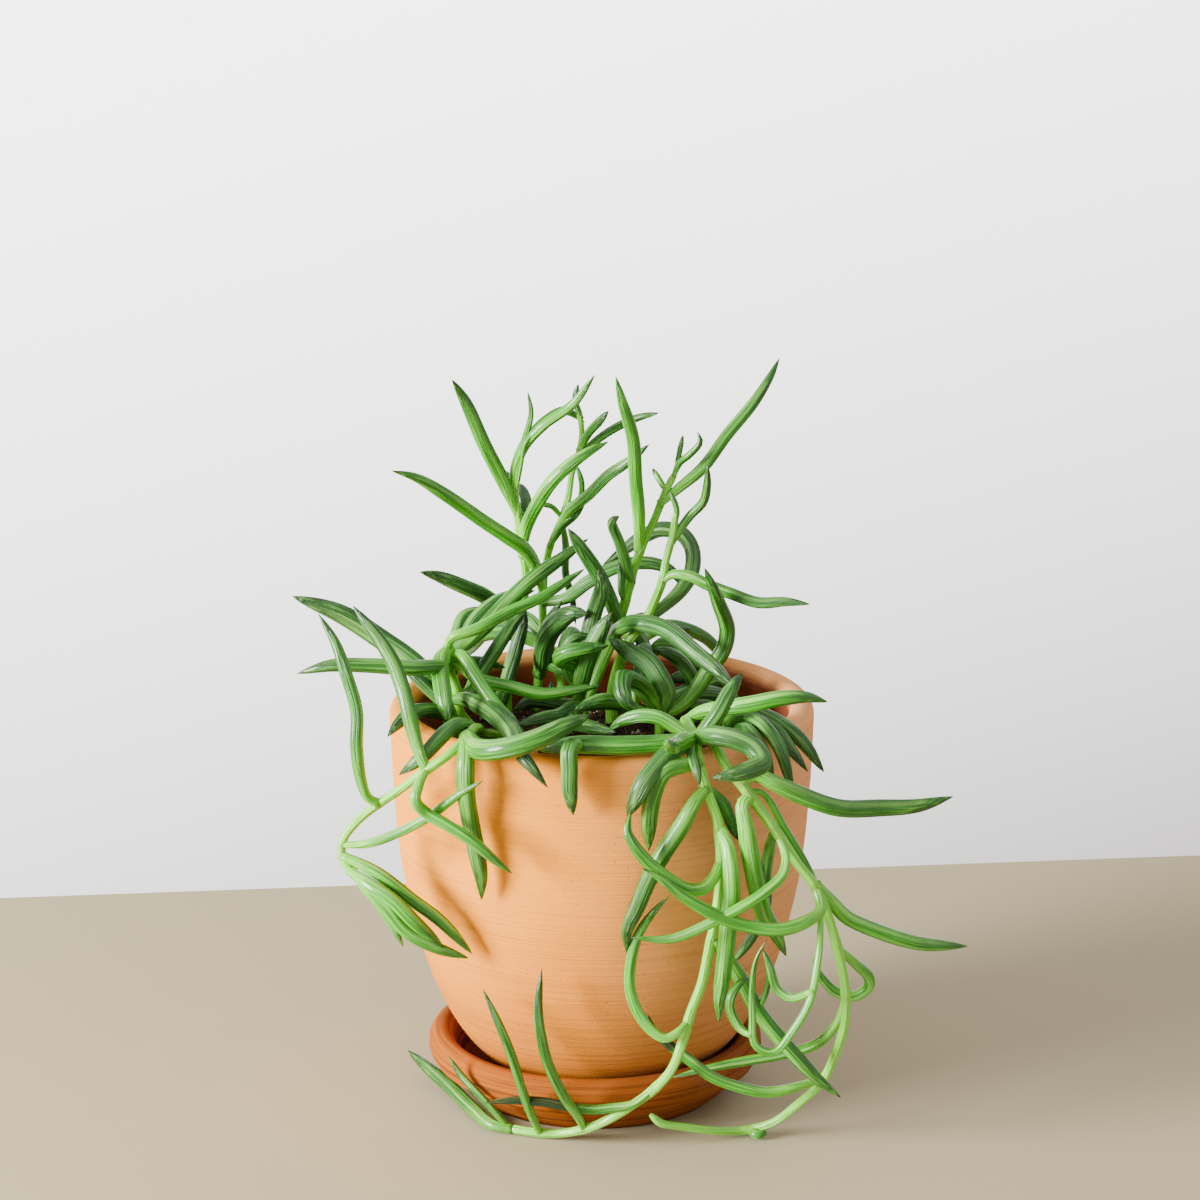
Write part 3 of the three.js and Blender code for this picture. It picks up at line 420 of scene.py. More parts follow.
        leaf(4.3, (36, -20, 119), (41, -26, 124), (48, -33, 124), (56, -40, 120), (63, -43, 111)),
        leaf(3.8, (36, -19, 118), (42, -30, 123), (49, -41, 123), (54, -47, 118), (58, -49, 113)),
        leaf(4, (37, -17, 116), (42, -30, 123), (46, -42, 124), (50, -51, 120), (54, -53, 106)),
        leaf(3.8, (38, -14, 113), (40, -30, 120), (42, -44, 123), (46, -54, 119), (48, -52, 110)),
    )),
    Stem("core_right", Age.OLD, (1.5, 1.3), (
        (17, 4, 96), (17, 4, 107), (17, 4, 112), (17, 4, 115),
    ), (
        leaf(5.6,
             (17, 4, 114), (13, 1, 122), (9, -4, 127), (6, -10, 129), (6, -14, 126), (8, -16, 123),
             (11, -16, 121), age=Age.GROWN),
        leaf(6, (17, 4, 114), (19, 4, 120), (17, 5, 125), (14, 7, 129), (8, 10, 132), (2, 13, 135)),
        leaf(5.2,
             (17, 4, 113), (11, -1, 116), (4, -6, 121), (-3, -11, 122), (-8, -15, 121),
             age=Age.GROWN),
        leaf(4.8,
             (17, 4, 114), (23, 6, 116), (28, 8, 121), (32, 9, 127), (36, 9, 133), (37, 9, 139),
             (34, 4, 149), (30, 0, 160), age=Age.GROWN),
        leaf(4.4, (17, 4, 114), (15, 9, 117), (12, 12, 122), (10, 14, 127)),
        leaf(3, (17, 4, 113), (21, 6, 115), (26, 8, 116), (34, 11, 116), age=Age.GROWN),
        leaf(5.2, (17, 4, 114), (22, 10, 117), (29, 14, 118), (37, 17, 116), (43, 18, 114)),
    )),
    Stem("core_left", Age.OLD, (1.5, 1.2), (
        (-9, 12, 96), (-9, 12, 107), (-7, 12, 113), (-6, 13, 122), (-4, 14, 129),
    ), (
        leaf(5,
             (-5, 14, 126), (-9, 8, 129), (-12, 4, 131), (-11, 0, 134), (-5, -2, 136),
             (2, -2, 137), age=Age.GROWN),
        leaf(4.8, (-4, 14, 128), (-4, 16, 135), (-2, 16, 143), (0, 13, 151), (-1, 11, 157)),
        leaf(5.4, (-7, 12, 116), (-6, 8, 124), (-4, 5, 132), (-1, 4, 139), (3, 2, 146)),
        leaf(4.2, (-6, 13, 119), (-9, 10, 124), (-11, 7, 131), (-9, 5, 137), (-3, 6, 138)),
        leaf(2.8, (-7, 12, 113), (-12, 9, 113), (-15, 9, 117), (-15, 10, 123)),
        leaf(4.4, (-7, 12, 113), (-9, 0, 115), (-8, -14, 117), (-2, -26, 119), (4, -34, 120)),
        leaf(4.2, (-7, 12, 115), (-9, 2, 117), (-13, -10, 118), (-18, -20, 120), (-25, -28, 120)),
        leaf(4.4, (-7, 12, 116), (-11, 8, 116), (-15, 3, 118), (-21, -2, 120), (-26, -5, 118)),
    )),
    Stem("core_back", Age.OLD, (1.5, 1.2), (
        (20, 38, 96), (20, 38, 107), (18, 38, 112), (16, 38, 119), (14, 37, 125),
    ), (
        leaf(4.6,
             (15, 38, 121), (13, 34, 126), (14, 29, 123), (16, 27, 118), (20, 27, 112),
             (22, 26, 110)),
        leaf(4, (15, 37, 123), (12, 38, 128), (10, 40, 132), (13, 44, 135)),
        leaf(4.6, (15, 37, 123), (18, 36, 127), (24, 36, 125), (29, 37, 120), (32, 38, 117)),
    )),
    Stem("back_right", Age.OLD, (1.5, 1.2), (
        (31, 24, 96), (31, 24, 107), (30, 24, 111), (29, 25, 117),
    ), (
        leaf(4.6, (29, 25, 114), (26, 20, 123), (21, 17, 129), (15, 16, 131)),
        leaf(4.4, (30, 24, 113), (26, 20, 117), (22, 16, 116), (17, 14, 113)),
        leaf(3.6, (29, 25, 117), (27, 27, 119), (24, 28, 119), (20, 27, 118)),
        leaf(4.4, (29, 25, 115), (33, 27, 118), (36, 31, 115), (39, 32, 112)),
    )),
    Stem("back_trail", Age.GROWN, (1.4, 1.1), (
        (10, 40, 96), (10, 40, 107), (11, 44, 117), (12, 52, 124), (13, 60, 124), (14, 67, 117),
        (14, 68, 104), (13, 68, 90), (11, 67, 75), (10, 66, 62),
    ), (
        leaf(4.4, (12, 52, 124), (20, 58, 127), (32, 63, 122), (40, 66, 112)),
        leaf(4.6, (13, 60, 124), (4, 66, 122), (-5, 70, 112), (-8, 71, 98), (-7, 70, 86)),
        leaf(4.4, (14, 68, 104), (22, 71, 98), (27, 72, 86), (28, 71, 72)),
        leaf(4.2, (13, 68, 90), (5, 70, 82), (0, 70, 70), (-2, 69, 58)),
        leaf(4, (11, 67, 75), (18, 69, 66), (21, 69, 54), (20, 68, 44)),
        leaf(3.6, (10, 66, 62), (6, 67, 52), (4, 66, 42)),
    )),
    Stem("back_crown", Age.OLD, (1.4, 1.2), (
        (-12, 46, 96), (-12, 46, 107), (-14, 48, 117), (-17, 50, 125),
    ), (
        leaf(4.6, (-17, 50, 125), (-24, 56, 130), (-34, 60, 127), (-42, 62, 116)),
        leaf(4.2, (-14, 48, 117), (-10, 56, 125), (-8, 64, 121), (-13, 68, 110), (-15, 69, 98)),
        leaf(4.6, (-16, 49, 122), (-27, 49, 127), (-38, 50, 126), (-47, 54, 117)),
    )),
)


# Shader nodes


class Socket:
    """An output socket that can be used in plain arithmetic."""

    def __init__(self, graph: "Graph", link: bpy.types.NodeSocket) -> None:
        """Keeps the node graph and the socket."""
        self.graph = graph
        self.link = link

    def _math(self, operation: str, *values: "Socket | float") -> "Socket":
        """One Math node on the given values."""
        return self.graph.add("ShaderNodeMath", {"operation": operation}, dict(enumerate(values)))

    def __add__(self, other: "Socket | float") -> "Socket":
        """Sum."""
        return self._math("ADD", self, other)

    __radd__ = __add__

    def __mul__(self, other: "Socket | float") -> "Socket":
        """Product."""
        return self._math("MULTIPLY", self, other)

    __rmul__ = __mul__

    def __sub__(self, other: "Socket | float") -> "Socket":
        """Difference."""
        return self._math("SUBTRACT", self, other)

    def __rsub__(self, other: "Socket | float") -> "Socket":
        """Difference, with this value taken away."""
        return self._math("SUBTRACT", other, self)

    def line(self, slope: float, start: float) -> "Socket":
        """This value times a slope, from a start."""
        return self * slope + start

    def step(self, low: float, high: float) -> "Socket":
        """A mask that rises smoothly from 0 to 1.

        Args:
            low: The value at which it is 0.
            high: The value at which it is 1. The mask falls where this is below low.

        Returns:
            The mask.
        """
        flip = low > high
        ends = (high, low) if flip else (low, high)
        settings = {"interpolation_type": "SMOOTHSTEP"}
        values = {"Value": self, "From Min": ends[0], "From Max": ends[1]}
        rise = self.graph.add("ShaderNodeMapRange", settings, values)
        return 1 - rise if flip else rise


@dataclass(frozen=True)
class Grain:
    """A fractal noise. Its scale is for all axes or for each of them."""

    scale: "float | Point"
    detail: float = 3.0
    roughness: float = 0.55


class Graph:
    """The nodes of one material, round its surface shader."""

    def __init__(self, name: str) -> None:
        """Starts a material with an empty node tree and a surface shader.

        Args:
            name: The material's name.
        """
        self.material = bpy.data.materials.new(name)
        self.material.use_nodes = True
        self.tree = self.material.node_tree
        self.surface = self.tree.nodes["Principled BSDF"]

    def add(self, kind: str, settings: dict, values: dict, output: int | str = 0) -> Socket:
        """Adds a node.

        Args:
            kind: The node's type.
            settings: Its own settings, set before its sockets. A list of stops fills a ramp.
            values: A number, a tuple or a Socket for each input, by name or index.
            output: Which output to give back.

        Returns:
            The chosen output.
        """
        node = self.tree.nodes.new(kind)
        for key, value in settings.items():
            if key == "stops":
                self._fill_ramp(node.color_ramp, value)
            else:
                setattr(node, key, value)
        for key, value in values.items():
            if isinstance(value, Socket):
                self.tree.links.new(value.link, node.inputs[key])
            else:
                node.inputs[key].default_value = value
        return Socket(self, node.outputs[output])

    @staticmethod
    def _fill_ramp(ramp: bpy.types.ColorRamp, stops: Sequence[tuple[float, Colour]]) -> None:
        """Sets the stops of a colour ramp.

        Args:
            ramp: The ramp, which starts with two stops.
            stops: The place and the colour of each stop.
        """
        while len(ramp.elements) < len(stops):
            ramp.elements.new(0.5)
        for element, (place, colour) in zip(ramp.elements, stops):
            element.position = place
            element.color = (*colour, 1)

    def attribute(self, name: str, output: str = "Fac") -> Socket:
        """Reads an attribute of the mesh."""
        return self.add("ShaderNodeAttribute", {"attribute_name": name}, {}, output)

    def place(self) -> Socket:
        """The place on the piece, in metres."""
        return self.add("ShaderNodeTexCoord", {}, {}, "Object")

    def stretch(self, vector: Socket, scale: Point) -> Socket:
        """A vector scaled along each axis."""
        return self.add("ShaderNodeVectorMath", {"operation": "MULTIPLY"}, {0: vector, 1: scale})

    def reach(self, vector: Socket, direction: Point) -> Socket:
        """How far a vector goes in a direction."""
        settings = {"operation": "DOT_PRODUCT"}
        return self.add("ShaderNodeVectorMath", settings, {0: vector, 1: direction}, "Value")

    def grain(self, vector: Socket, kind: Grain) -> Socket:
        """Fractal noise.

        Args:
            vector: Where it is read.
            kind: Its scale and character.

        Returns:
            The noise, from 0 to 1 with its mean at GRAIN_MEAN.
        """
        scale = kind.scale
        if isinstance(scale, tuple):
            vector, scale = self.stretch(vector, scale), 1.0
        values = {"Vector": vector, "Scale": scale, "Detail": kind.detail,
                  "Roughness": kind.roughness}
        return self.add("ShaderNodeTexNoise", {}, values)

    def cells(self, vector: Socket, scale: float) -> Socket:
        """Distance to the nearest of scattered points."""
        return self.add("ShaderNodeTexVoronoi", {}, {"Vector": vector, "Scale": scale})

    def blend(self, share: "Socket | float", first: "Socket | Colour",
              second: "Socket | Colour") -> Socket:
        """Mixes two colours.

        Args:
            share: How much of the second there is.
            first: The colour where the share is 0.
            second: The colour where the share is 1.

        Returns:
            The mixed colour.
        """
        values: dict[int, Socket | float | tuple[float, ...]] = {0: share}
        for slot, colour in ((6, first), (7, second)):
            values[slot] = colour if isinstance(colour, Socket) else (*colour, 1)
        return self.add("ShaderNodeMix", {"data_type": "RGBA"}, values, 2)

    def ramp(self, value: Socket, *stops: tuple[float, Colour]) -> Socket:
        """A colour ramp over a value."""
        return self.add("ShaderNodeValToRGB", {"stops": stops}, {0: value})

    def bump(self, height: Socket, strength: float, distance: float) -> Socket:
        """A normal that leans with a height, whose full step is distance metres."""
        values = {"Strength": strength, "Distance": distance, "Height": height}
        return self.add("ShaderNodeBump", {}, values)

    def finish(self, **inputs: "Socket | float | Colour") -> bpy.types.Material:
        """Feeds the surface shader.

        Args:
            **inputs: A link or a value for each socket, named with spaces as underscores.

        Returns:
            The finished material.
        """
        for key, value in inputs.items():
            socket = self.surface.inputs[key.replace("_", " ")]
            if isinstance(value, Socket):
                self.tree.links.new(value.link, socket)
            else:
                wide = isinstance(value, tuple) and socket.type == "RGBA"
                socket.default_value = (*value, 1) if wide else value
        return self.material


# Finishes. A field named span holds the two values that a mask rises between, and one named
# line holds a slope and a start.


@dataclass(frozen=True)
class FoliageFinish:
    """Waxy succulent skin, with a pale window along each leaf, partly its real window and partly a
    painted highlight, and pale stems.

    The grains are in waves a millimetre across and along the skin.
    """

    spent: Colour = linear(34, 50, 18)
    old: Colour = linear(60, 118, 44)
    grown: Colour = linear(38, 110, 6)
    young: Colour = linear(64, 158, 4)
    pale: Colour = linear(138, 222, 62)
    # The window stripe's colour: partly the leaf's real window, partly a painted highlight
    window: Colour = linear(170, 228, 110)
    bark: Colour = linear(112, 96, 40)
    husk: Colour = linear(22, 42, 2)
    green_places: tuple[float, ...] = (0.0, 0.25, 0.6, 1.0)
    fibre_grain: Grain = Grain((1.25, 1.25, 0.035), 1.5, 0.6)
    patch_grain: Grain = Grain((0.35, 0.35, 0.2), 2.0)
    rib_span: Span = (0.40, 0.58)
    vein_span: Span = (0.56, 0.64)
    rib_light: float = 0.6
    patch_light: float = 0.5
    least_light: float = 0.66
    far_span: Span = (0.45, 1.0)
    far_shade: float = 0.5
    root_span: Span = (0.4, 0.0)
    root_line: Span = (0.6, 0.05)
    window_highlight_from_span: Span = (0.02, 0.2)
    window_highlight_to_span: Span = (0.98, 0.72)
    window_highlight_edge_span: Span = (0.88, 0.99)
    window_highlight_line: Span = (0.22, 0.06)
    fibre_stray: float = 0.10
    patch_stray: float = 0.08
    vein_light: float = 0.14
    stalk_line: Span = (0.5, 0.2)
    stalk_ribs: float = 0.3
    spot_scale: Point = (0.45, 0.45, 0.45)
    spot_span: Span = (0.13, 0.07)
    spot_patch_span: Span = (0.5, 0.62)
    spot_share: float = 0.4
    scar_span: Span = (0.55, 1.0)
    scar_fibre_span: Span = (0.4, 0.6)
    scar_share: float = 0.5
    tip_stray: float = 0.08
    tip_span: Span = (0.985, 1.02)
    husk_span: Span = (0.52, 0.66)
    husk_share: float = 0.9
    height_shares: Span = (0.8, 0.2)
    bump: Span = (0.9, 0.0005)
    tip_roughness: float = 0.5
    rib_roughness: float = 0.1
    least_roughness: float = 0.42
    coat_line: Span = (0.5, 0.04)
    coat_roughness: float = 0.13
    glow_share: float = 0.3
    glow: Point = (0.3, 1.0, 0.08)
    glow_depth: float = 0.0014
    shine: float = 0.4

    def build(self) -> bpy.types.Material:
        """Makes the material. It reads the attributes that the leafy stems carry."""
        g = Graph("waxy_foliage")
        skin = g.attribute("skin", "Vector")
        along = g.attribute("along")
        tint = g.attribute("tint")
        stem = g.attribute("stem")
        fibres = g.grain(skin, self.fibre_grain)
        ribs = fibres.step(*self.rib_span)
        patches = g.grain(skin, self.patch_grain)
        leaf_colour = self._leaf(g, along, tint, fibres, ribs, patches)
        stalk_share = tint.line(*self.stalk_line) + ribs * self.stalk_ribs
        stalk = g.blend(stalk_share, self.young, self.pale)
        marked = self._marks(g, skin, fibres, patches, g.blend(stem, leaf_colour, stalk))
        ragged = along + (fibres - GRAIN_MEAN) * self.tip_stray + g.attribute("dry")
        tipped = ragged.step(*self.tip_span) * (1 - stem)
        husk_mask = fibres.step(*self.husk_span) * patches * self.husk_share
        husk = g.blend(husk_mask, self.husk, self.bark)
        roughness = tipped * self.tip_roughness + ribs * self.rib_roughness
        of_ribs, of_patches = self.height_shares
        return g.finish(
            Base_Color=g.blend(tipped, marked, husk),
            Roughness=roughness + self.least_roughness,
            Normal=g.bump(ribs * of_ribs + patches * of_patches, *self.bump),
            Coat_Weight=tint.line(*self.coat_line) * (1 - tipped),
            Coat_Roughness=self.coat_roughness,
            Subsurface_Weight=self.glow_share,
            Subsurface_Radius=self.glow,
            Subsurface_Scale=self.glow_depth,
            Specular_IOR_Level=self.shine,
        )

    def _leaf(self, g: Graph, along: Socket, tint: Socket, fibres: Socket, ribs: Socket,
              patches: Socket) -> Socket:
        """The colour of a leaf: green by age, pale at the root, with veins and a window that is partly
        a painted highlight.

        Args:
            g: The material's nodes.
            along: The share of the length.
            tint: The age, as a share of youth.
            fibres: Grain along the leaf.
            ribs: The raised lines of that grain.
            patches: Broad, soft grain.

        Returns:
            The colour.
        """
        greens = (self.spent, self.old, self.grown, self.young)
        green = g.ramp(tint, *zip(self.green_places, greens))
        mottle = (patches - GRAIN_MEAN) * self.patch_light
        light = ribs * self.rib_light + mottle + self.least_light
        shade = light * (1 - along.step(*self.far_span) * self.far_shade)
        shaded = g.add("ShaderNodeVectorMath", {"operation": "SCALE"}, {0: green, "Scale": shade})
        root = along.step(*self.root_span) * tint.line(*self.root_line)
        body = g.blend(root, shaded, self.pale)
        # The window stripe is partly the leaf's real window and partly a painted highlight along the
        # side that faces the upper left front, towards the key light
        length = along.step(*self.window_highlight_from_span) * along.step(*self.window_highlight_to_span)
        edge = (g.attribute("facing") + (fibres - GRAIN_MEAN) * self.fibre_stray
                + (patches - GRAIN_MEAN) * self.patch_stray)
        window_highlight = edge.step(*self.window_highlight_edge_span) * length * tint.line(*self.window_highlight_line)
        veins = fibres.step(*self.vein_span) * self.vein_light
        return g.blend(window_highlight + veins, body, self.window)

    def _marks(self, g: Graph, skin: Socket, fibres: Socket, patches: Socket,
               colour: Socket) -> Socket:
        """Brown spots, and scars where leaves leave the stem.

        Args:
            g: The material's nodes.
            skin: The place on the skin, in millimetres.
            fibres: Grain along the leaf.
            patches: Broad, soft grain.
            colour: The colour under the marks.

        Returns:
            The marked colour.
        """
        spots = g.cells(g.stretch(skin, self.spot_scale), 1.0).step(*self.spot_span)
        spotted = patches.step(*self.spot_patch_span) * spots * self.spot_share
        dotted = g.blend(spotted, colour, self.bark)
        scars = g.attribute("scar").step(*self.scar_span) * fibres.step(*self.scar_fibre_span)
        return g.blend(scars * self.scar_share, dotted, self.bark)


@dataclass(frozen=True)
class ClayFinish:
    """Unglazed fired clay with turning lines, pits, specks and a bloom of salt.

    The grains are in waves a metre. The tone of the right side and of the back is painted shade, a
    paler and greyer tone; the darkening towards the foot and inside the pot is painted shade too.
    """

    name: str
    base: Colour
    warm: Colour
    # The paler, greyer tone of the painted shade on the right side and at the back
    shaded_side_tone: Colour
    dark: Colour
    # The dark red-brown of the painted shade inside the pot
    inside_shade_colour: Colour
    salt: float
    thread: float
    salt_colour: Colour = linear(240, 224, 205)
    cloud_grain: Grain = Grain(28.0, 4.0, 0.6)
    cloud_span: Span = (0.3, 0.72)
    cloud_share: float = 0.7
    cloud_reach: float = 0.02
    shaded_right_span: Span = (-0.004, 0.056)
    shaded_back_span: Span = (-0.01, 0.05)
    shaded_back_share: float = 0.7
    # Painted shade that darkens the clay towards the foot
    foot_shade_span: Span = (0.075, 0.0)
    foot_shade_reach: float = 0.01
    foot_shade_share: float = 0.65
    line_grain: Grain = Grain((16.0, 16.0, 1200.0), 2.0, 0.6)
    line_span: Span = (0.45, 0.68)
    streak_grain: Grain = Grain((7.0, 7.0, 240.0), 5.0, 0.6)
    streak_start: float = 0.4
    streak_share: float = 0.16
    speck_scale: float = 330.0
    speck_span: Span = (0.14, 0.08)
    speck_grain: Grain = Grain(60.0)
    speck_area_span: Span = (0.5, 0.64)
    speck_share: float = 0.5
    dust_grain: Grain = Grain(1500.0, 3.0, 0.7)
    dust_span: Span = (0.35, 0.7)
    bloom_grain: Grain = Grain(17.0, 6.0, 0.7)
    bloom_span: Span = (0.56, 0.78)
    inside_shade_line: Span = (0.3, 0.8)
    pit_scale: float = 420.0
    pit_span: Span = (0.05, 0.13)
    height_shares: tuple[float, ...] = (0.45, 0.25, 0.2, 0.3)
    bump: Span = (1.0, 0.0006)
    roughness_line: Span = (0.2, 0.75)
    shine: float = 0.06

    def build(self) -> bpy.types.Material:
        """Makes the material."""
        g = Graph(self.name)
        place = g.place()
        clouds = g.grain(place, self.cloud_grain)
        streaks = g.grain(place, self.streak_grain)
        lines = g.grain(place, self.line_grain)
        dust = g.grain(place, self.dust_grain)
        # Painted shade: the clay grows darker towards the bottom, where the piece curves under near
        # the table
        foot_shade_height = g.reach(place, (0.0, 0.0, 1.0)) - clouds * self.foot_shade_reach
        foot = foot_shade_height.step(*self.foot_shade_span) * self.foot_shade_share
        thread = lines.step(*self.line_span) * self.thread
        darker = (streaks - self.streak_start) * self.streak_share + thread + foot
        banded_and_shaded = g.blend(darker, self._tone(g, place, clouds), self.dark)
        speck_area = g.grain(place, self.speck_grain).step(*self.speck_area_span)
        specks = g.cells(place, self.speck_scale).step(*self.speck_span) * speck_area
        speckled = g.blend(specks * self.speck_share, banded_and_shaded, self.dark)
        bloom = g.grain(place, self.bloom_grain).step(*self.bloom_span)
        salted = g.blend(bloom * dust.step(*self.dust_span) * self.salt, speckled,
                         self.salt_colour)
        # Painted shade: the inner wall below the lip turns dark red-brown, mottled by the clouds, as
        # if shaded by the rim
        inside = g.attribute("inside") * clouds.line(*self.inside_shade_line)
        pits = g.cells(place, self.pit_scale).step(*self.pit_span)
        of_lines, of_streaks, of_dust, of_pits = self.height_shares
        height = lines * of_lines + streaks * of_streaks + dust * of_dust + pits * of_pits
        return g.finish(
            Base_Color=g.blend(inside, salted, self.inside_shade_colour),
            Roughness=dust.line(*self.roughness_line),
            Normal=g.bump(height, *self.bump),
            Specular_IOR_Level=self.shine,
        )

    def _tone(self, g: Graph, place: Socket, clouds: Socket) -> Socket:
        """The tone of the clay: cloudy, with painted shade in a paler, greyer tone on the right and at
        the back.

        Args:
            g: The material's nodes.
            place: The place on the piece, in metres.
            clouds: Broad, soft grain.

        Returns:
            The colour.
        """
        lit_side_tone = g.blend(clouds.step(*self.cloud_span) * self.cloud_share, self.base, self.warm)
        # Painted shade: the right side, its edge wandering with the clouds, and the back take the
        # paler shaded tone
        reach = g.reach(place, (1.0, 0.0, 0.0)) + clouds * self.cloud_reach
        right = reach.step(*self.shaded_right_span)
        back = g.reach(place, (0.0, 1.0, 0.0)).step(*self.shaded_back_span)
        return g.blend(right * (1 - back) + back * self.shaded_back_share, lit_side_tone, self.shaded_side_tone)


@dataclass(frozen=True)
class SoilFinish:
    """Dark potting mix."""

    dark: Colour = linear(34, 24, 18)
    mid: Colour = linear(70, 50, 36)
    light: Colour = linear(112, 86, 62)
    tone_places: Point = (0.3, 0.55, 0.78)
    coarse_grain: Grain = Grain(260.0, 5.0, 0.65)
    fine_grain: Grain = Grain(1200.0, 4.0, 0.7)
    hollow_shade_span: Span = (0.6, 0.35)
    hollow_shade_share: float = 0.6
    height_shares: Span = (0.6, 0.4)
    bump: Span = (1.0, 0.0016)
    roughness: float = 0.95
    shine: float = 0.15

    def build(self) -> bpy.types.Material:
        """Makes the material."""
        g = Graph("potting_mix")
        place = g.place()
        coarse = g.grain(place, self.coarse_grain)
        fine = g.grain(place, self.fine_grain)
        colour = g.ramp(coarse, *zip(self.tone_places, (self.dark, self.mid, self.light)))
        of_coarse, of_fine = self.height_shares
        # Painted shade: darker where the fine bump is low, in its hollows
        return g.finish(
            Base_Color=g.blend(fine.step(*self.hollow_shade_span) * self.hollow_shade_share, colour, self.dark),
            Roughness=self.roughness,
            Normal=g.bump(coarse * of_coarse + fine * of_fine, *self.bump),
            Specular_IOR_Level=self.shine,
        )


@dataclass(frozen=True)
class CrumbFinish:
    """Bits of bark, peat and pale grit, by each bit's own tint."""

    peat: Colour = linear(48, 34, 25)
    bark: Colour = linear(104, 72, 46)
    grit: Colour = linear(198, 180, 150)
    tint_places: Point = (0.0, 0.8, 0.9)
    fine_grain: Grain = Grain(900.0, 4.0, 0.7)
    hollow_shade_span: Span = (0.6, 0.3)
    hollow_shade_share: float = 0.5
    bump: Span = (0.8, 0.0006)
    roughness: float = 0.9
    shine: float = 0.2

    def build(self) -> bpy.types.Material:
        """Makes the material."""
        g = Graph("soil_crumbs")
        fine = g.grain(g.place(), self.fine_grain)
        tones = (self.peat, self.bark, self.grit)
        colour = g.ramp(g.attribute("tint"), *zip(self.tint_places, tones))
        # Painted shade: darker where the fine bump is low, in its hollows
        return g.finish(
            Base_Color=g.blend(fine.step(*self.hollow_shade_span) * self.hollow_shade_share, colour, self.peat),
            Roughness=self.roughness,
            Normal=g.bump(fine, *self.bump),
            Specular_IOR_Level=self.shine,
        )


@dataclass(frozen=True)
class WallFinish:
    """A glowing backdrop for a plain white wall, with painted light falloff: a little dimmer to the
    right and downwards.
    """

    bright: Colour = linear(240, 239, 237)
    dim: Colour = linear(118, 115, 114)
    glow: float = 5.7
    reach: Point = (0.22, 0.0, -0.72)
    least_falloff: float = 0.1

    def build(self) -> bpy.types.Material:
        """Makes the material."""
        g = Graph("white_wall")
        # Painted light falloff: the glow dims towards the right and the bottom
        painted_falloff = g.reach(g.place(), self.reach)
        colour = g.blend(painted_falloff + self.least_falloff, self.bright, self.dim)
        return g.finish(Base_Color=linear(0, 0, 0), Roughness=1.0, Specular_IOR_Level=0.0,
                        Emission_Color=colour, Emission_Strength=self.glow)


@dataclass(frozen=True)
class TableFinish:
    """A plain pale table top with the faintest mottling."""

    base: Colour = linear(178, 164, 130)
    mottle_grain: Grain = Grain(5.0)
    mottle: float = 0.94
    roughness: float = 0.7
    shine: float = 0.25

    def build(self) -> bpy.types.Material:
        """Makes the material."""
        g = Graph("plain_table")
        darker = tuple(self.mottle * level for level in self.base)
        colour = g.blend(g.grain(g.place(), self.mottle_grain), self.base, darker)
        return g.finish(Base_Color=colour, Roughness=self.roughness,
                        Specular_IOR_Level=self.shine)


# Meshes


@dataclass
class Skin:
    """Points, faces and point attributes that are gathered for one mesh."""

    points: list[np.ndarray] = field(default_factory=list)
    faces: list[np.ndarray] = field(default_factory=list)
    values: dict[str, list[np.ndarray]] = field(default_factory=dict)
    count: int = 0

    def add(self, points: np.ndarray, faces: np.ndarray, **values: "np.ndarray | float") -> None:
        """Adds a patch of surface.

        Args:
            points: Its points, in metres.
            faces: Its faces as rows of four indices; a triangle repeats its last one.
            values: Attributes, each a number for all or a row for each point.
        """
        self.points.append(points)
        self.faces.append(faces + self.count)
        for name, value in values.items():
            column = np.asarray(value, dtype=float)
            if column.ndim == 0:
                column = np.full(len(points), float(value))
            self.values.setdefault(name, []).append(column)
        self.count += len(points)

    def build(self, name: str, material: bpy.types.Material) -> bpy.types.Object:
        """Makes the object, shaded smooth, and links it to the scene.

        Args:
            name: The object's name.
            material: Its material.

        Returns:
            The object.
        """
        mesh = bpy.data.meshes.new(name)
        rows = np.concatenate(self.faces)
        loops = [row[:3] if row[2] == row[3] else row for row in rows.tolist()]
        mesh.from_pydata(np.concatenate(self.points), [], loops, shade_flat=False)
        for key, parts in self.values.items():
            column = np.concatenate(parts)
            kind = "FLOAT_VECTOR" if column.ndim == 2 else "FLOAT"
            layer = mesh.attributes.new(key, kind, "POINT")
            layer.data.foreach_set("vector" if column.ndim == 2 else "value", column.ravel())
        mesh.materials.append(material)
        mesh.validate()
        piece = bpy.data.objects.new(name, mesh)
        bpy.context.scene.collection.objects.link(piece)
        return piece


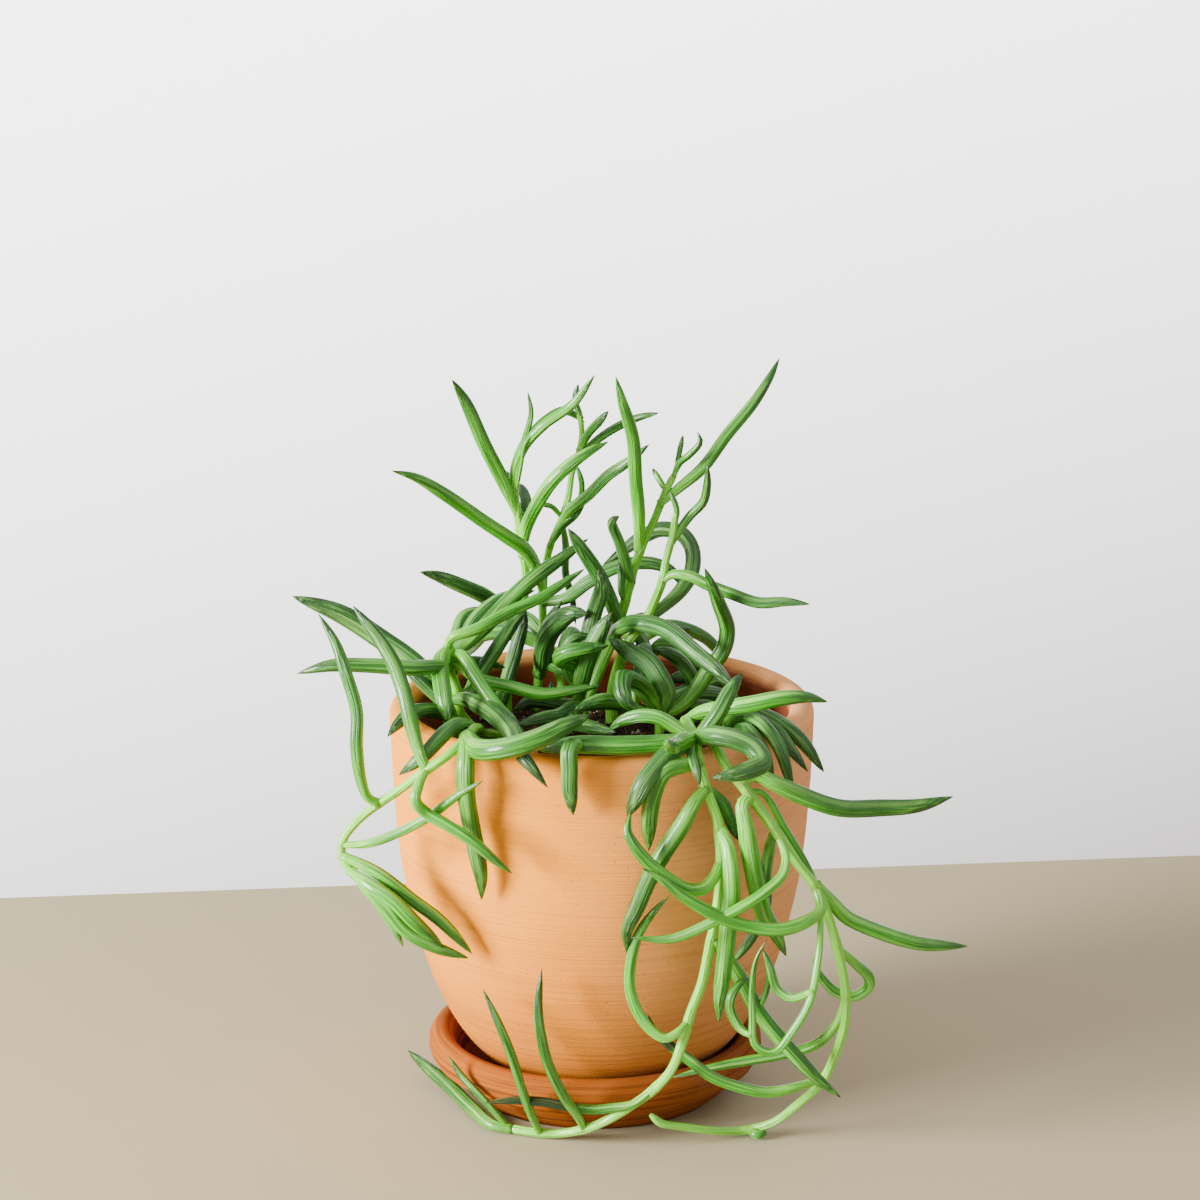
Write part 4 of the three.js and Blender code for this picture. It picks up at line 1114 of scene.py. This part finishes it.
def smooth_path(points: Sequence[Point], stretches: int) -> tuple[np.ndarray, float]:
    """Evenly spaced points of the smooth curve through the given points.

    Args:
        points: The points that the curve goes through.
        stretches: How many equal stretches to cut it into.

    Returns:
        The points, one more than the stretches, and the length of the curve.
    """
    least_gap = 1e-4
    known = [np.array(point, float) for point in points]
    known = [2 * known[0] - known[1], *known, 2 * known[-1] - known[-2]]
    fine: list[np.ndarray] = []
    shares = np.linspace(0, 1, CURVE_STEPS, endpoint=False)[:, None]
    for before, start, end, after in zip(known, known[1:], known[2:], known[3:]):
        gap_0, gap_1, gap_2 = (
            max(math.sqrt(np.linalg.norm(b - a)), least_gap)
            for a, b in ((before, start), (start, end), (end, after))
        )
        leave = ((start - before) / gap_0 - (end - before) / (gap_0 + gap_1)
                 + (end - start) / gap_1) * gap_1
        reach = ((end - start) / gap_1 - (after - start) / (gap_1 + gap_2)
                 + (after - end) / gap_2) * gap_1
        bend = -3 * start + 3 * end - 2 * leave - reach
        twist = 2 * start - 2 * end + leave + reach
        fine.append(start + shares * (leave + shares * (bend + shares * twist)))
    line = np.concatenate([*fine, known[-2][None]])
    travelled = np.concatenate([[0], np.cumsum(np.linalg.norm(np.diff(line, axis=0), axis=1))])
    wanted = np.linspace(0, travelled[-1], stretches + 1)
    even = np.stack([np.interp(wanted, travelled, line[:, k]) for k in range(3)], axis=1)
    return even, float(travelled[-1])


def carried_frames(line: np.ndarray, up: np.ndarray) -> tuple[np.ndarray, np.ndarray]:
    """Two directions across a curve at each of its points, turned as little as possible.

    Args:
        line: The points of the curve.
        up: The direction that the first of the two leans to at the start.

    Returns:
        The first and the second direction at each point.
    """
    tangents = np.gradient(line, axis=0)
    tangents /= np.linalg.norm(tangents, axis=1)[:, None]
    first = up - tangents[0] * (up @ tangents[0])
    normals = [first / np.linalg.norm(first)]
    for tangent in tangents[1:]:
        carried = normals[-1] - tangent * (normals[-1] @ tangent)
        normals.append(carried / np.linalg.norm(carried))
    across = np.array(normals)
    return across, np.cross(tangents, across)


def tube(line: np.ndarray, radii: np.ndarray, up: np.ndarray,
         outline: Callable[[np.ndarray, np.ndarray], np.ndarray],
         sides: int) -> tuple[np.ndarray, np.ndarray, np.ndarray, np.ndarray]:
    """A closed tube along a line.

    Args:
        line: Points of its middle line.
        radii: Its radius at each of them.
        up: The direction of angle zero at the start.
        outline: Gives the share of the radius for each angle and share of the length.
        sides: How many sides it has.

    Returns:
        Its points, its faces, and the angle and share of the length of each point.
    """
    normals, binormals = carried_frames(line, up)
    angles = np.linspace(0, 2 * math.pi, sides, endpoint=False)
    shares = np.linspace(0, 1, len(line))
    angle, share = np.meshgrid(angles, shares)
    reach = radii[:, None] * outline(angle, share)
    rings = (line[:, None] + (reach * np.cos(angle))[..., None] * normals[:, None]
             + (reach * np.sin(angle))[..., None] * binormals[:, None])
    points = np.concatenate([rings.reshape(-1, 3), line[:1], line[-1:]])
    row = np.arange(len(line) - 1)[:, None] * sides
    k = np.arange(sides)[None]
    following = (k + 1) % sides
    body = np.stack([row + k, row + following, row + sides + following, row + sides + k], -1)
    count = len(line) * sides
    ends = np.arange(sides)
    turn = (ends + 1) % sides
    last = count - sides
    root = np.stack([np.full(sides, count), turn, ends, ends], -1)
    tip = np.stack([np.full(sides, count + 1), last + ends, last + turn, last + turn], -1)
    faces = np.concatenate([body.reshape(-1, 4), root, tip])
    angle_of = np.concatenate([angle.ravel(), [0.0, 0.0]])
    share_of = np.concatenate([share.ravel(), [0.0, 1.0]])
    return points, faces, angle_of, share_of


def skin_place(angle: np.ndarray, radii: np.ndarray, along: np.ndarray) -> np.ndarray:
    """Where each point of a tube lies on its straightened skin.

    Args:
        angle: The angle of each point round the tube.
        radii: The radius of each ring, in millimetres.
        along: How far along the tube each point is, in millimetres.

    Returns:
        The places, in millimetres, with the tube's length along the third axis.
    """
    rings = len(radii)
    out = np.concatenate([np.repeat(radii, (len(angle) - 2) // rings), [0.0, 0.0]])
    return np.stack([out * np.cos(angle), out * np.sin(angle), along], axis=1)


def waver(share: np.ndarray, seed: float, waves: float) -> np.ndarray:
    """A gentle, repeatable wander between about -1 and 1 along a length.

    Args:
        share: The shares of the length at which it is read.
        seed: Which wander it is.
        waves: About how many waves there are in the whole length.

    Returns:
        The wander at each share.
    """
    values = [noise.noise(Vector((float(s) * waves, seed, 0.5 * seed))) for s in share]
    return np.array(values)


def turned(profile: Sequence[tuple[float, float]], sides: int, middle_x: float,
           wander: Callable[[float, float], float]) -> tuple[np.ndarray, np.ndarray]:
    """A closed surface turned about a vertical axis.

    Args:
        profile: Points as radius and height in millimetres, round the section and closed.
        sides: How many sides it has.
        middle_x: Where its axis stands.
        wander: How far the surface strays from true, by angle and height.

    Returns:
        The points, in metres, and the faces.
    """
    rings = len(profile)
    points = []
    for radius, z in profile:
        for k in range(sides):
            angle = 2 * math.pi * k / sides
            stray = wander(angle, z) if radius > 1 else 0.0
            out = radius + stray
            points.append((middle_x + out * math.cos(angle), out * math.sin(angle), z))
    row = np.arange(rings)[:, None]
    k = np.arange(sides)[None]
    following = (k + 1) % sides
    after = (row + 1) % rings
    faces = np.stack([row * sides + k, row * sides + following,
                      after * sides + following, after * sides + k], -1).reshape(-1, 4)
    return np.array(points) * MM, faces


def refined(profile: Sequence[tuple[float, float]], spacing: float) -> list[tuple[float, float]]:
    """An open profile with its stretches cut into even pieces.

    Args:
        profile: Points as radius and height in millimetres.
        spacing: About how long a piece is.

    Returns:
        The points of the profile with those between them.
    """
    fine: list[tuple[float, float]] = []
    for (r_0, z_0), (r_1, z_1) in zip(profile, profile[1:]):
        pieces = max(1, round(math.hypot(r_1 - r_0, z_1 - z_0) / spacing))
        for i in range(pieces):
            share = i / pieces
            fine.append((r_0 + (r_1 - r_0) * share, z_0 + (z_1 - z_0) * share))
    return [*fine, profile[-1]]


def eased(profile: Sequence[tuple[float, float]], steps: int) -> list[tuple[float, float]]:
    """The smooth curve through a stretch of profile, in equal steps."""
    curve, _ = smooth_path([(radius, z, 0.0) for radius, z in profile], steps)
    return [(float(radius), float(z)) for radius, z, _ in curve]


def arc(radius: float, z: float, size: float, start: float, end: float,
        steps: int) -> list[tuple[float, float]]:
    """Points of an arc in a profile.

    Args:
        radius: Radius at which its middle lies.
        z: Height of its middle.
        size: Its own radius.
        start: The angle at which it starts, in degrees.
        end: The angle at which it ends.
        steps: How many steps it is cut into.

    Returns:
        The points as radius and height.
    """
    angles = np.radians(np.linspace(start, end, steps + 1))
    return [(radius + size * math.cos(a), z + size * math.sin(a)) for a in angles]


# Sub-assemblies


@dataclass
class Pot:
    """The round pot, thrown in clay, with a rounded lip and a hole in its base."""

    sides: int = 220
    side_steps: int = 90
    lip_angles: tuple[float, float] = (8.0, 172.0)
    lip_steps: int = 22
    inner_spacing: float = 4.0
    stray: float = 0.16
    dent_share: float = 1.3
    dent_round: float = 1.2
    dent_rise: float = 0.03
    ridge_share: float = 0.55
    ridge_round: float = 0.35
    ridge_rise: float = 0.55
    # Painted shade darkens the inner wall from just under the lip downwards
    inside_shade_below: float = 2.8
    inside_shade_depth: float = 3.2
    inside_shade_lip: float = 0.7
    side: tuple[tuple[float, float], ...] = (
        (28.5, POT_FOOT_Z), (35.2, 12), (42.2, 20), (48, 30), (52.8, 42), (56.3, 55),
        (59.4, 70), (60.9, 85), (61.9, 100), (POT_RADIUS, LIP_Z - 1),
    )

    def stretches(self) -> tuple[list[tuple[float, float]], ...]:
        """The section from the foot upwards.

        Returns:
            The outside, the lip, and the inside with the floor and the drain hole.
        """
        outside = eased(self.side, self.side_steps)
        lip = arc(POT_RADIUS - LIP_SIZE, LIP_Z, LIP_SIZE, *self.lip_angles, self.lip_steps)
        inside = [(radius - WALL, z) for radius, z in reversed(self.side[2:-1])]
        floor = POT_FOOT_Z + FLOOR
        rest = [(POT_RADIUS - 2 * LIP_SIZE, LIP_Z - 1), *inside, (28, floor),
                (DRAIN_RADIUS, floor), (DRAIN_RADIUS, POT_FOOT_Z)]
        return outside, lip, refined(rest, self.inner_spacing)

    def wander(self, angle: float, z: float) -> float:
        """How far the wall strays from a true circle, by soft turning ridges and hand marks.

        Args:
            angle: The direction from the axis.
            z: The height.

        Returns:
            The way outwards, in millimetres.
        """
        x, y = math.cos(angle), math.sin(angle)
        dent = noise.noise(Vector((x * self.dent_round, y * self.dent_round, z * self.dent_rise)))
        ridge = noise.noise(
            Vector((self.ridge_round * x, self.ridge_round * y, z * self.ridge_rise)),
        )
        return self.stray * (self.dent_share * dent + self.ridge_share * ridge)

    def build(self, finish: bpy.types.Material) -> bpy.types.Object:
        """Makes the pot in place of its solid.

        Args:
            finish: Its material.

        Returns:
            The piece.
        """
        outside, lip, below = self.stretches()
        points, faces = turned([*outside, *lip, *below], self.sides, 0.0, self.wander)
        ring = np.arange(len(points)) // self.sides
        # Where painted shade darkens the inner wall, fading in below the lip
        within = ring >= len(outside) + self.inside_shade_lip * len(lip)
        depth = LIP_Z + self.inside_shade_below - points[:, 2] / MM
        inside = within * np.clip(depth / self.inside_shade_depth, 0, 1)
        skin = Skin()
        skin.add(points, faces, inside=inside)
        piece = skin.build("thrown_pot", finish)
        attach(piece, "root")
        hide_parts("pot")
        return piece


@dataclass
class Saucer:
    """The dish under the pot, with a full rounded rim over an undercut side."""

    sides: int = 200
    rim_steps: int = 56
    stray: float = 0.12
    dent_round: float = 1.4
    dent_rise: float = 0.06
    dent_seed: float = 9.0
    ridge_share: float = 0.7
    ridge_round: float = 0.3
    ridge_rise: float = 0.8
    ridge_seed: float = 3.1
    groove_half: float = 0.4
    middle: float = 0.02
    floor_ring: float = 20.0
    grooves: tuple[tuple[float, float], ...] = (
        (7.4, 0.4), (9.0, 0.2), (10.4, 0.5), (12.4, 0.25), (14.6, 0.3), (17.0, 0.25),
    )
    side: tuple[tuple[float, float], ...] = (
        (37.6, 0), (41, 3), (44, 7), (48.4, 9.4), (49.8, 12), (50.1, 15), (48.9, 17.4),
        (46.6, 18.8), (44.6, 18.6), (43.4, 17), (40.4, 8), (38, SAUCER_FLOOR),
    )

    def wander(self, angle: float, z: float) -> float:
        """Soft unevenness of the turned dish, and its grooves.

        Args:
            angle: The direction from the axis.
            z: The height.

        Returns:
            The way outwards, in millimetres.
        """
        x, y = math.cos(angle), math.sin(angle)
        spot = Vector((x * self.dent_round, y * self.dent_round,
                       z * self.dent_rise + self.dent_seed))
        ridge = noise.noise(Vector((self.ridge_seed, self.ridge_round * x, z * self.ridge_rise)))
        cuts = sum(deep * math.exp(-(((z - at) / self.groove_half) ** 2))
                   for at, deep in self.grooves)
        return self.stray * (noise.noise(spot) + self.ridge_share * ridge) - cuts

    def build(self, finish: bpy.types.Material) -> bpy.types.Object:
        """Makes the saucer in place of its solid.

        Args:
            finish: Its material.

        Returns:
            The piece.
        """
        rim = eased(self.side[2:11], self.rim_steps)
        section = [(self.middle, 0.0), (self.floor_ring, 0.0), *self.side[:2], *rim,
                   self.side[-1], (self.floor_ring, SAUCER_FLOOR), (self.middle, SAUCER_FLOOR)]
        points, faces = turned(section, self.sides, SAUCER_X, self.wander)
        skin = Skin()
        skin.add(points, faces, inside=0.0)
        piece = skin.build("turned_saucer", finish)
        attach(piece, "root")
        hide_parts("saucer")
        return piece


@dataclass
class Soil:
    """Potting mix that fills the pot, with loose crumbs over it."""

    radius: float = 54.0
    rings: int = 46
    sides: int = 150
    settled: float = 0.8
    mound: float = 3.2
    front_mound: float = 0.75
    lumps: float = 1.5
    lump_scale: float = 0.09
    lump_seed: float = 2.0
    wall_gap: float = 0.5
    floor_gap: float = 0.4
    floor_radius: float = 27.0
    edge_drop: float = 3.0
    middle: float = 0.02
    crumbs: int = 3400
    seed: int = 17
    crumb_area: float = 0.97
    crumb_range: tuple[float, float] = (0.35, 0.8)
    crumb_growth: tuple[float, ...] = (1.0, 1.6, 2.4)
    crumb_shares: tuple[float, ...] = (0.7, 0.22, 0.08)
    corner_range: tuple[float, float] = (0.5, 1.2)
    side_range: tuple[float, float] = (0.5, 1.0)
    crumb_lift: float = 0.3

    def height(self, x: float, y: float) -> float:
        """Height of the surface at a place.

        Args:
            x: The place to the right of the axis, in millimetres.
            y: The place behind the axis.

        Returns:
            The height, in millimetres.
        """
        out = math.hypot(x, y) / self.radius
        heap = self.mound * max(0.0, 1 - out * out) * (1 if y > 0 else self.front_mound)
        spot = Vector((x * self.lump_scale, y * self.lump_scale, self.lump_seed))
        fineness, growth, octaves = 0.6, 2.0, 4
        rough = noise.fractal(spot, fineness, growth, octaves)
        return SOIL_TOP_Z - self.settled + heap + self.lumps * rough

    def build(self, finish: bpy.types.Material) -> bpy.types.Object:
        """Makes the body of the soil in place of its solid.

        Args:
            finish: Its material.

        Returns:
            The piece.
        """
        floor = POT_FOOT_Z + FLOOR + self.floor_gap
        wall = [(radius - WALL - self.wall_gap, z)
                for radius, z in Pot().side[2:-1] if z < SOIL_TOP_Z]
        section = [(self.middle, floor), (self.floor_radius, floor), *wall,
                   (self.radius, SOIL_TOP_Z - self.edge_drop)]
        top = [(self.radius * (1 - i / self.rings), SOIL_TOP_Z) for i in range(self.rings)]
        section += [*top, (self.middle, SOIL_TOP_Z)]
        points, faces = turned(section, self.sides, 0.0, lambda angle, z: 0.0)
        for point in points[-(self.rings + 1) * self.sides:]:
            point[2] = self.height(point[0] / MM, point[1] / MM) * MM
        skin = Skin()
        skin.add(points, faces)
        piece = skin.build("potting_soil", finish)
        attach(piece, "root")
        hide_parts("soil")
        return piece

    def scatter(self, finish: bpy.types.Material) -> bpy.types.Object:
        """Scatters crumbs of bark, peat and grit on the surface.

        Args:
            finish: Their material.

        Returns:
            The crumbs, as one piece.
        """
        draw = np.random.default_rng(self.seed)
        corners = np.array([(1, 0, 0), (-1, 0, 0), (0, 1, 0), (0, -1, 0), (0, 0, 1), (0, 0, -1)])
        sides = np.array([(0, 2, 4), (2, 1, 4), (1, 3, 4), (3, 0, 4),
                          (2, 0, 5), (1, 2, 5), (3, 1, 5), (0, 3, 5)])
        faces = np.concatenate([sides, sides[:, 2:]], axis=1)
        skin = Skin()
        for _ in range(self.crumbs):
            out = self.radius * math.sqrt(draw.uniform(0, self.crumb_area))
            angle = draw.uniform(0, 2 * math.pi)
            x, y = out * math.cos(angle), out * math.sin(angle)
            size = draw.uniform(*self.crumb_range)
            size *= draw.choice(self.crumb_growth, p=self.crumb_shares)
            turn = np.linalg.qr(draw.normal(size=(3, 3)))[0]
            shape = corners * draw.uniform(*self.corner_range, (6, 1))
            shape = shape * draw.uniform(*self.side_range, (1, 3))
            middle = (x, y, self.height(x, y) + size * self.crumb_lift)
            points = (shape @ turn * size + middle) * MM
            skin.add(points, faces, tint=draw.uniform(0, 1))
        piece = skin.build("soil_crumbs", finish)
        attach(piece, "root")
        return piece


@dataclass
class LeafyStem:
    """One stem with its banana-shaped leaves."""

    stem: Stem
    leaf_sides: int = 18
    stem_sides: int = 16
    leaf_step: float = 1.3
    stem_step: float = 1.6
    least_stretches: int = 14
    tip_power: float = 0.85
    clasp: float = 0.2
    clasp_reach: float = 0.035
    leaf_waver: float = 0.05
    leaf_waves: float = 5.0
    least_share: float = 0.03
    groove: float = 0.05
    groove_reach: float = 0.12
    keel: float = 0.03
    flatness: float = 0.04
    first_seed: int = 1000
    stem_seed: int = 31
    leaf_seed: float = 7.3
    skin_gap: float = 9.0
    # up picks the side that carries each leaf's window and painted highlight; it leans up, to the
    # front and mostly to the left, towards the key light
    up_range: tuple[float, float] = (-0.9, 0.3)
    up_rest: tuple[float, float] = (-0.7, 0.8)
    tint_spread: float = 0.14
    ragged: float = 0.03
    joint_reach: float = 2.2
    joint_near: float = 3.0
    joint_swell: float = 0.12
    stem_waver: float = 0.06
    stem_wave: float = 9.0
    stem_wave_seed: float = 3.7
    stem_end: tuple[float, float] = (0.85, 0.5)
    stem_up: Point = (0.3, -1.0, 0.4)
    stem_ridge: float = 0.03

    def leaf_radii(self, share: np.ndarray, width: float, seed: float) -> np.ndarray:
        """How thick a leaf is along its length.

        Args:
            share: The shares of the length at which it is read.
            width: The greatest thickness, in millimetres.
            seed: Sets the slight unevenness.

        Returns:
            The radius at each share, in millimetres.
        """
        swell = np.sin(np.minimum(share / SWELL_END, 1) * math.pi / 2)
        taper = np.maximum((share - TAPER_START) / (1 - TAPER_START), 0) ** TAPER_POWER
        tip = np.maximum(1 - taper, 0) ** self.tip_power
        shape = (ROOT_SHARE + (1 - ROOT_SHARE) * swell) * tip
        clasp = self.clasp * np.exp(-share / self.clasp_reach)
        uneven = 1 + self.leaf_waver * waver(share, seed, self.leaf_waves)
        return np.maximum((shape + clasp) * uneven, self.least_share) * width / 2

    def leaf_outline(self, angle: np.ndarray, share: np.ndarray) -> np.ndarray:
        """Section of a leaf: round, a little flat and grooved at the window.

        Args:
            angle: The angles round the leaf.
            share: The shares of its length.

        Returns:
            The share of the radius at each.
        """
        groove = self.groove * np.exp(-((np.cos(angle) - 1) / self.groove_reach) ** 2)
        keel = self.keel * np.cos(3 * angle) * np.sin(math.pi * share)
        return 1.0 - groove + keel - self.flatness * np.cos(2 * angle)

    def stem_outline(self, angle: np.ndarray, share: np.ndarray) -> np.ndarray:
        """Section of a stem: five low ridges that wind along it."""
        ridges, turns = 5, 9
        return 1 + self.stem_ridge * np.cos(ridges * angle + turns * share)

    def add_leaf(self, skin: Skin, one: Leaf, index: int) -> None:
        """Adds one leaf.

        Args:
            skin: The mesh that it goes into.
            one: The leaf.
            index: Its number on the stem, which sets its random draws.
        """
        seed = self.leaf_seed * index + len(self.stem.node)
        length = smooth_path(one.path, LENGTH_STEPS)[1]
        stretches = max(self.least_stretches, round(length / self.leaf_step))
        line, _ = smooth_path(one.path, stretches)
        share = np.linspace(0, 1, stretches + 1)
        draw = np.random.default_rng(self.first_seed + index
                                     + self.stem_seed * len(self.stem.path))
        up = np.array([draw.uniform(*self.up_range), *self.up_rest])
        radii = self.leaf_radii(share, one.width, seed)
        points, faces, angle, along = tube(line, radii, up, self.leaf_outline, self.leaf_sides)
        age = (one.age or self.stem.age).value
        tint = float(np.clip(age + draw.uniform(-self.tint_spread, self.tint_spread), 0, 1))
        place = skin_place(angle, radii, along * length + seed * self.skin_gap)
        ragged = one.dry + draw.uniform(0.0, self.ragged)
        skin.add(points * MM, faces, skin=place, along=along, tint=tint, dry=ragged,
                 stem=0.0, scar=0.0, facing=np.cos(angle))

    def add_stem(self, skin: Skin) -> None:
        """Adds the stem, a little thicker and scarred where each leaf leaves it.

        Args:
            skin: The mesh that it goes into.
        """
        length = smooth_path(self.stem.path, LENGTH_STEPS)[1]
        stretches = round(length / self.stem_step)
        line, _ = smooth_path(self.stem.path, stretches)
        share = np.linspace(0, 1, stretches + 1)
        first, last = self.stem.radii
        joints = np.zeros(len(line))
        for one in self.stem.leaves:
            away = np.linalg.norm(line - np.array(one.path[0]), axis=1)
            near = away.min() < self.joint_near
            joints = np.maximum(joints, np.exp(-((away / self.joint_reach) ** 2)) * near)
        radii = first + (last - first) * share
        wander = waver(share, first * self.stem_wave_seed, length / self.stem_wave)
        radii = radii * (1 + self.joint_swell * joints + self.stem_waver * wander)
        radii[-2:] *= self.stem_end
        points, faces, angle, along = tube(line, radii, np.array(self.stem_up),
                                           self.stem_outline, self.stem_sides)
        scar = np.concatenate([np.repeat(joints, self.stem_sides), [0.0, 0.0]])
        place = skin_place(angle, radii, along * length)
        skin.add(points * MM, faces, skin=place, along=0.0, tint=self.stem.age.value, dry=0.0,
                 stem=1.0, scar=scar, facing=np.cos(angle))

    def build(self, finish: bpy.types.Material) -> bpy.types.Object:
        """Makes the stem with its leaves in place of their solid.

        Args:
            finish: Their material.

        Returns:
            The piece.
        """
        skin = Skin()
        self.add_stem(skin)
        for index, one in enumerate(self.stem.leaves):
            self.add_leaf(skin, one, index)
        piece = skin.build("leafy_" + self.stem.node, finish)
        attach(piece, "root")
        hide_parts(self.stem.node)
        return piece


@dataclass
class Studio:
    """Table, daylight and camera."""

    camera_place: Point = (-0.00056, -0.9911, 0.4066)
    camera_pitch: float = 14.5
    focal: float = 105.0
    sensor: float = 36.0
    sky: Colour = linear(236, 234, 233)
    sky_range: tuple[float, float] = (0.75, 1.35)
    sky_lean: Point = (-0.2, -0.6, 0.77)
    key_place: Point = (-1.233, -0.575, 0.42)
    key_power: float = 86.0
    key_size: float = 0.62
    key_aim: Point = (0.0, 0.0, 0.09)
    table_corners: tuple[Point, ...] = (
        (-1.6, -1.6, 0), (1.6, -1.6, 0), (1.6, 0.363, 0), (-1.6, 0.014, 0),
    )
    wall_corners: tuple[Point, ...] = (
        (-1.3, 3, -1.9), (1.3, 3, -1.9), (1.3, 3, 0.5), (-1.3, 3, 0.5),
    )

    def build(self, table: bpy.types.Material, wall: bpy.types.Material) -> None:
        """Lays the table before the wall, hangs the lights and sets the camera.

        Args:
            table: Material of the table.
            wall: Material of the wall.
        """
        sheets = (("table_top", self.table_corners, table), ("wall", self.wall_corners, wall))
        for name, corners, finish in sheets:
            skin = Skin()
            skin.add(np.array(corners, float), np.array([(0, 1, 2, 3)]))
            skin.build(name, finish)
        self._light()
        camera = bpy.data.objects.new("camera", bpy.data.cameras.new("camera"))
        camera.location = self.camera_place
        camera.rotation_euler = (math.radians(90 - self.camera_pitch), 0, 0)
        camera.data.lens = self.focal
        camera.data.sensor_width = self.sensor
        bpy.context.scene.collection.objects.link(camera)
        bpy.context.scene.camera = camera

    def _light(self) -> None:
        """A soft sky that is brightest at the upper left, and a window on that side."""
        world = bpy.data.worlds.new("pale_room")
        world.use_nodes = True
        tree = world.node_tree
        background = tree.nodes["Background"]
        background.inputs["Color"].default_value = (*self.sky, 1)
        towards = tree.nodes.new("ShaderNodeTexCoord")
        lean = tree.nodes.new("ShaderNodeVectorMath")
        lean.operation = "DOT_PRODUCT"
        lean.inputs[1].default_value = self.sky_lean
        strength = tree.nodes.new("ShaderNodeMapRange")
        strength.inputs["From Min"].default_value = -1.0
        for name, level in zip(("To Min", "To Max"), self.sky_range):
            strength.inputs[name].default_value = level
        tree.links.new(towards.outputs["Generated"], lean.inputs[0])
        tree.links.new(lean.outputs["Value"], strength.inputs["Value"])
        tree.links.new(strength.outputs["Result"], background.inputs["Strength"])
        bpy.context.scene.world = world
        lamp = bpy.data.lights.new("window", "AREA")
        lamp.shape = "DISK"
        lamp.size = self.key_size
        lamp.energy = self.key_power
        key = bpy.data.objects.new("window", lamp)
        key.location = self.key_place
        aim = Vector(self.key_aim) - Vector(self.key_place)
        key.rotation_euler = aim.to_track_quat("-Z", "Y").to_euler()
        bpy.context.scene.collection.objects.link(key)


def main() -> None:
    """Builds the studio, the pot, the soil and every leafy stem."""
    Studio().build(TableFinish().build(), WallFinish().build())
    # Each clay's third tone is the painted shade of its right side and its back
    pot_clay = ClayFinish("pot_clay", base=linear(236, 146, 36), warm=linear(228, 136, 28),
                          shaded_side_tone=linear(238, 166, 110), dark=linear(146, 80, 24),
                          inside_shade_colour=linear(116, 50, 30), salt=0.08, thread=0.15)
    saucer_clay = ClayFinish("saucer_clay", base=linear(204, 112, 20),
                             warm=linear(184, 96, 16), shaded_side_tone=linear(188, 110, 56),
                             dark=linear(104, 52, 20), inside_shade_colour=linear(90, 38, 18), salt=0.15,
                             thread=0.3)
    soil = Soil()
    pieces = [
        Pot().build(pot_clay.build()),
        Saucer().build(saucer_clay.build()),
        soil.build(SoilFinish().build()),
        soil.scatter(CrumbFinish().build()),
    ]
    foliage = FoliageFinish().build()
    pieces += [LeafyStem(stem).build(foliage) for stem in STEMS]
    for piece in pieces:
        log.info("%s: %d faces", piece.name, len(piece.data.polygons))


if __name__ == "__main__":
    logging.basicConfig(level=logging.INFO, format="%(message)s")
    main()
    bpy.context.view_layer.update()
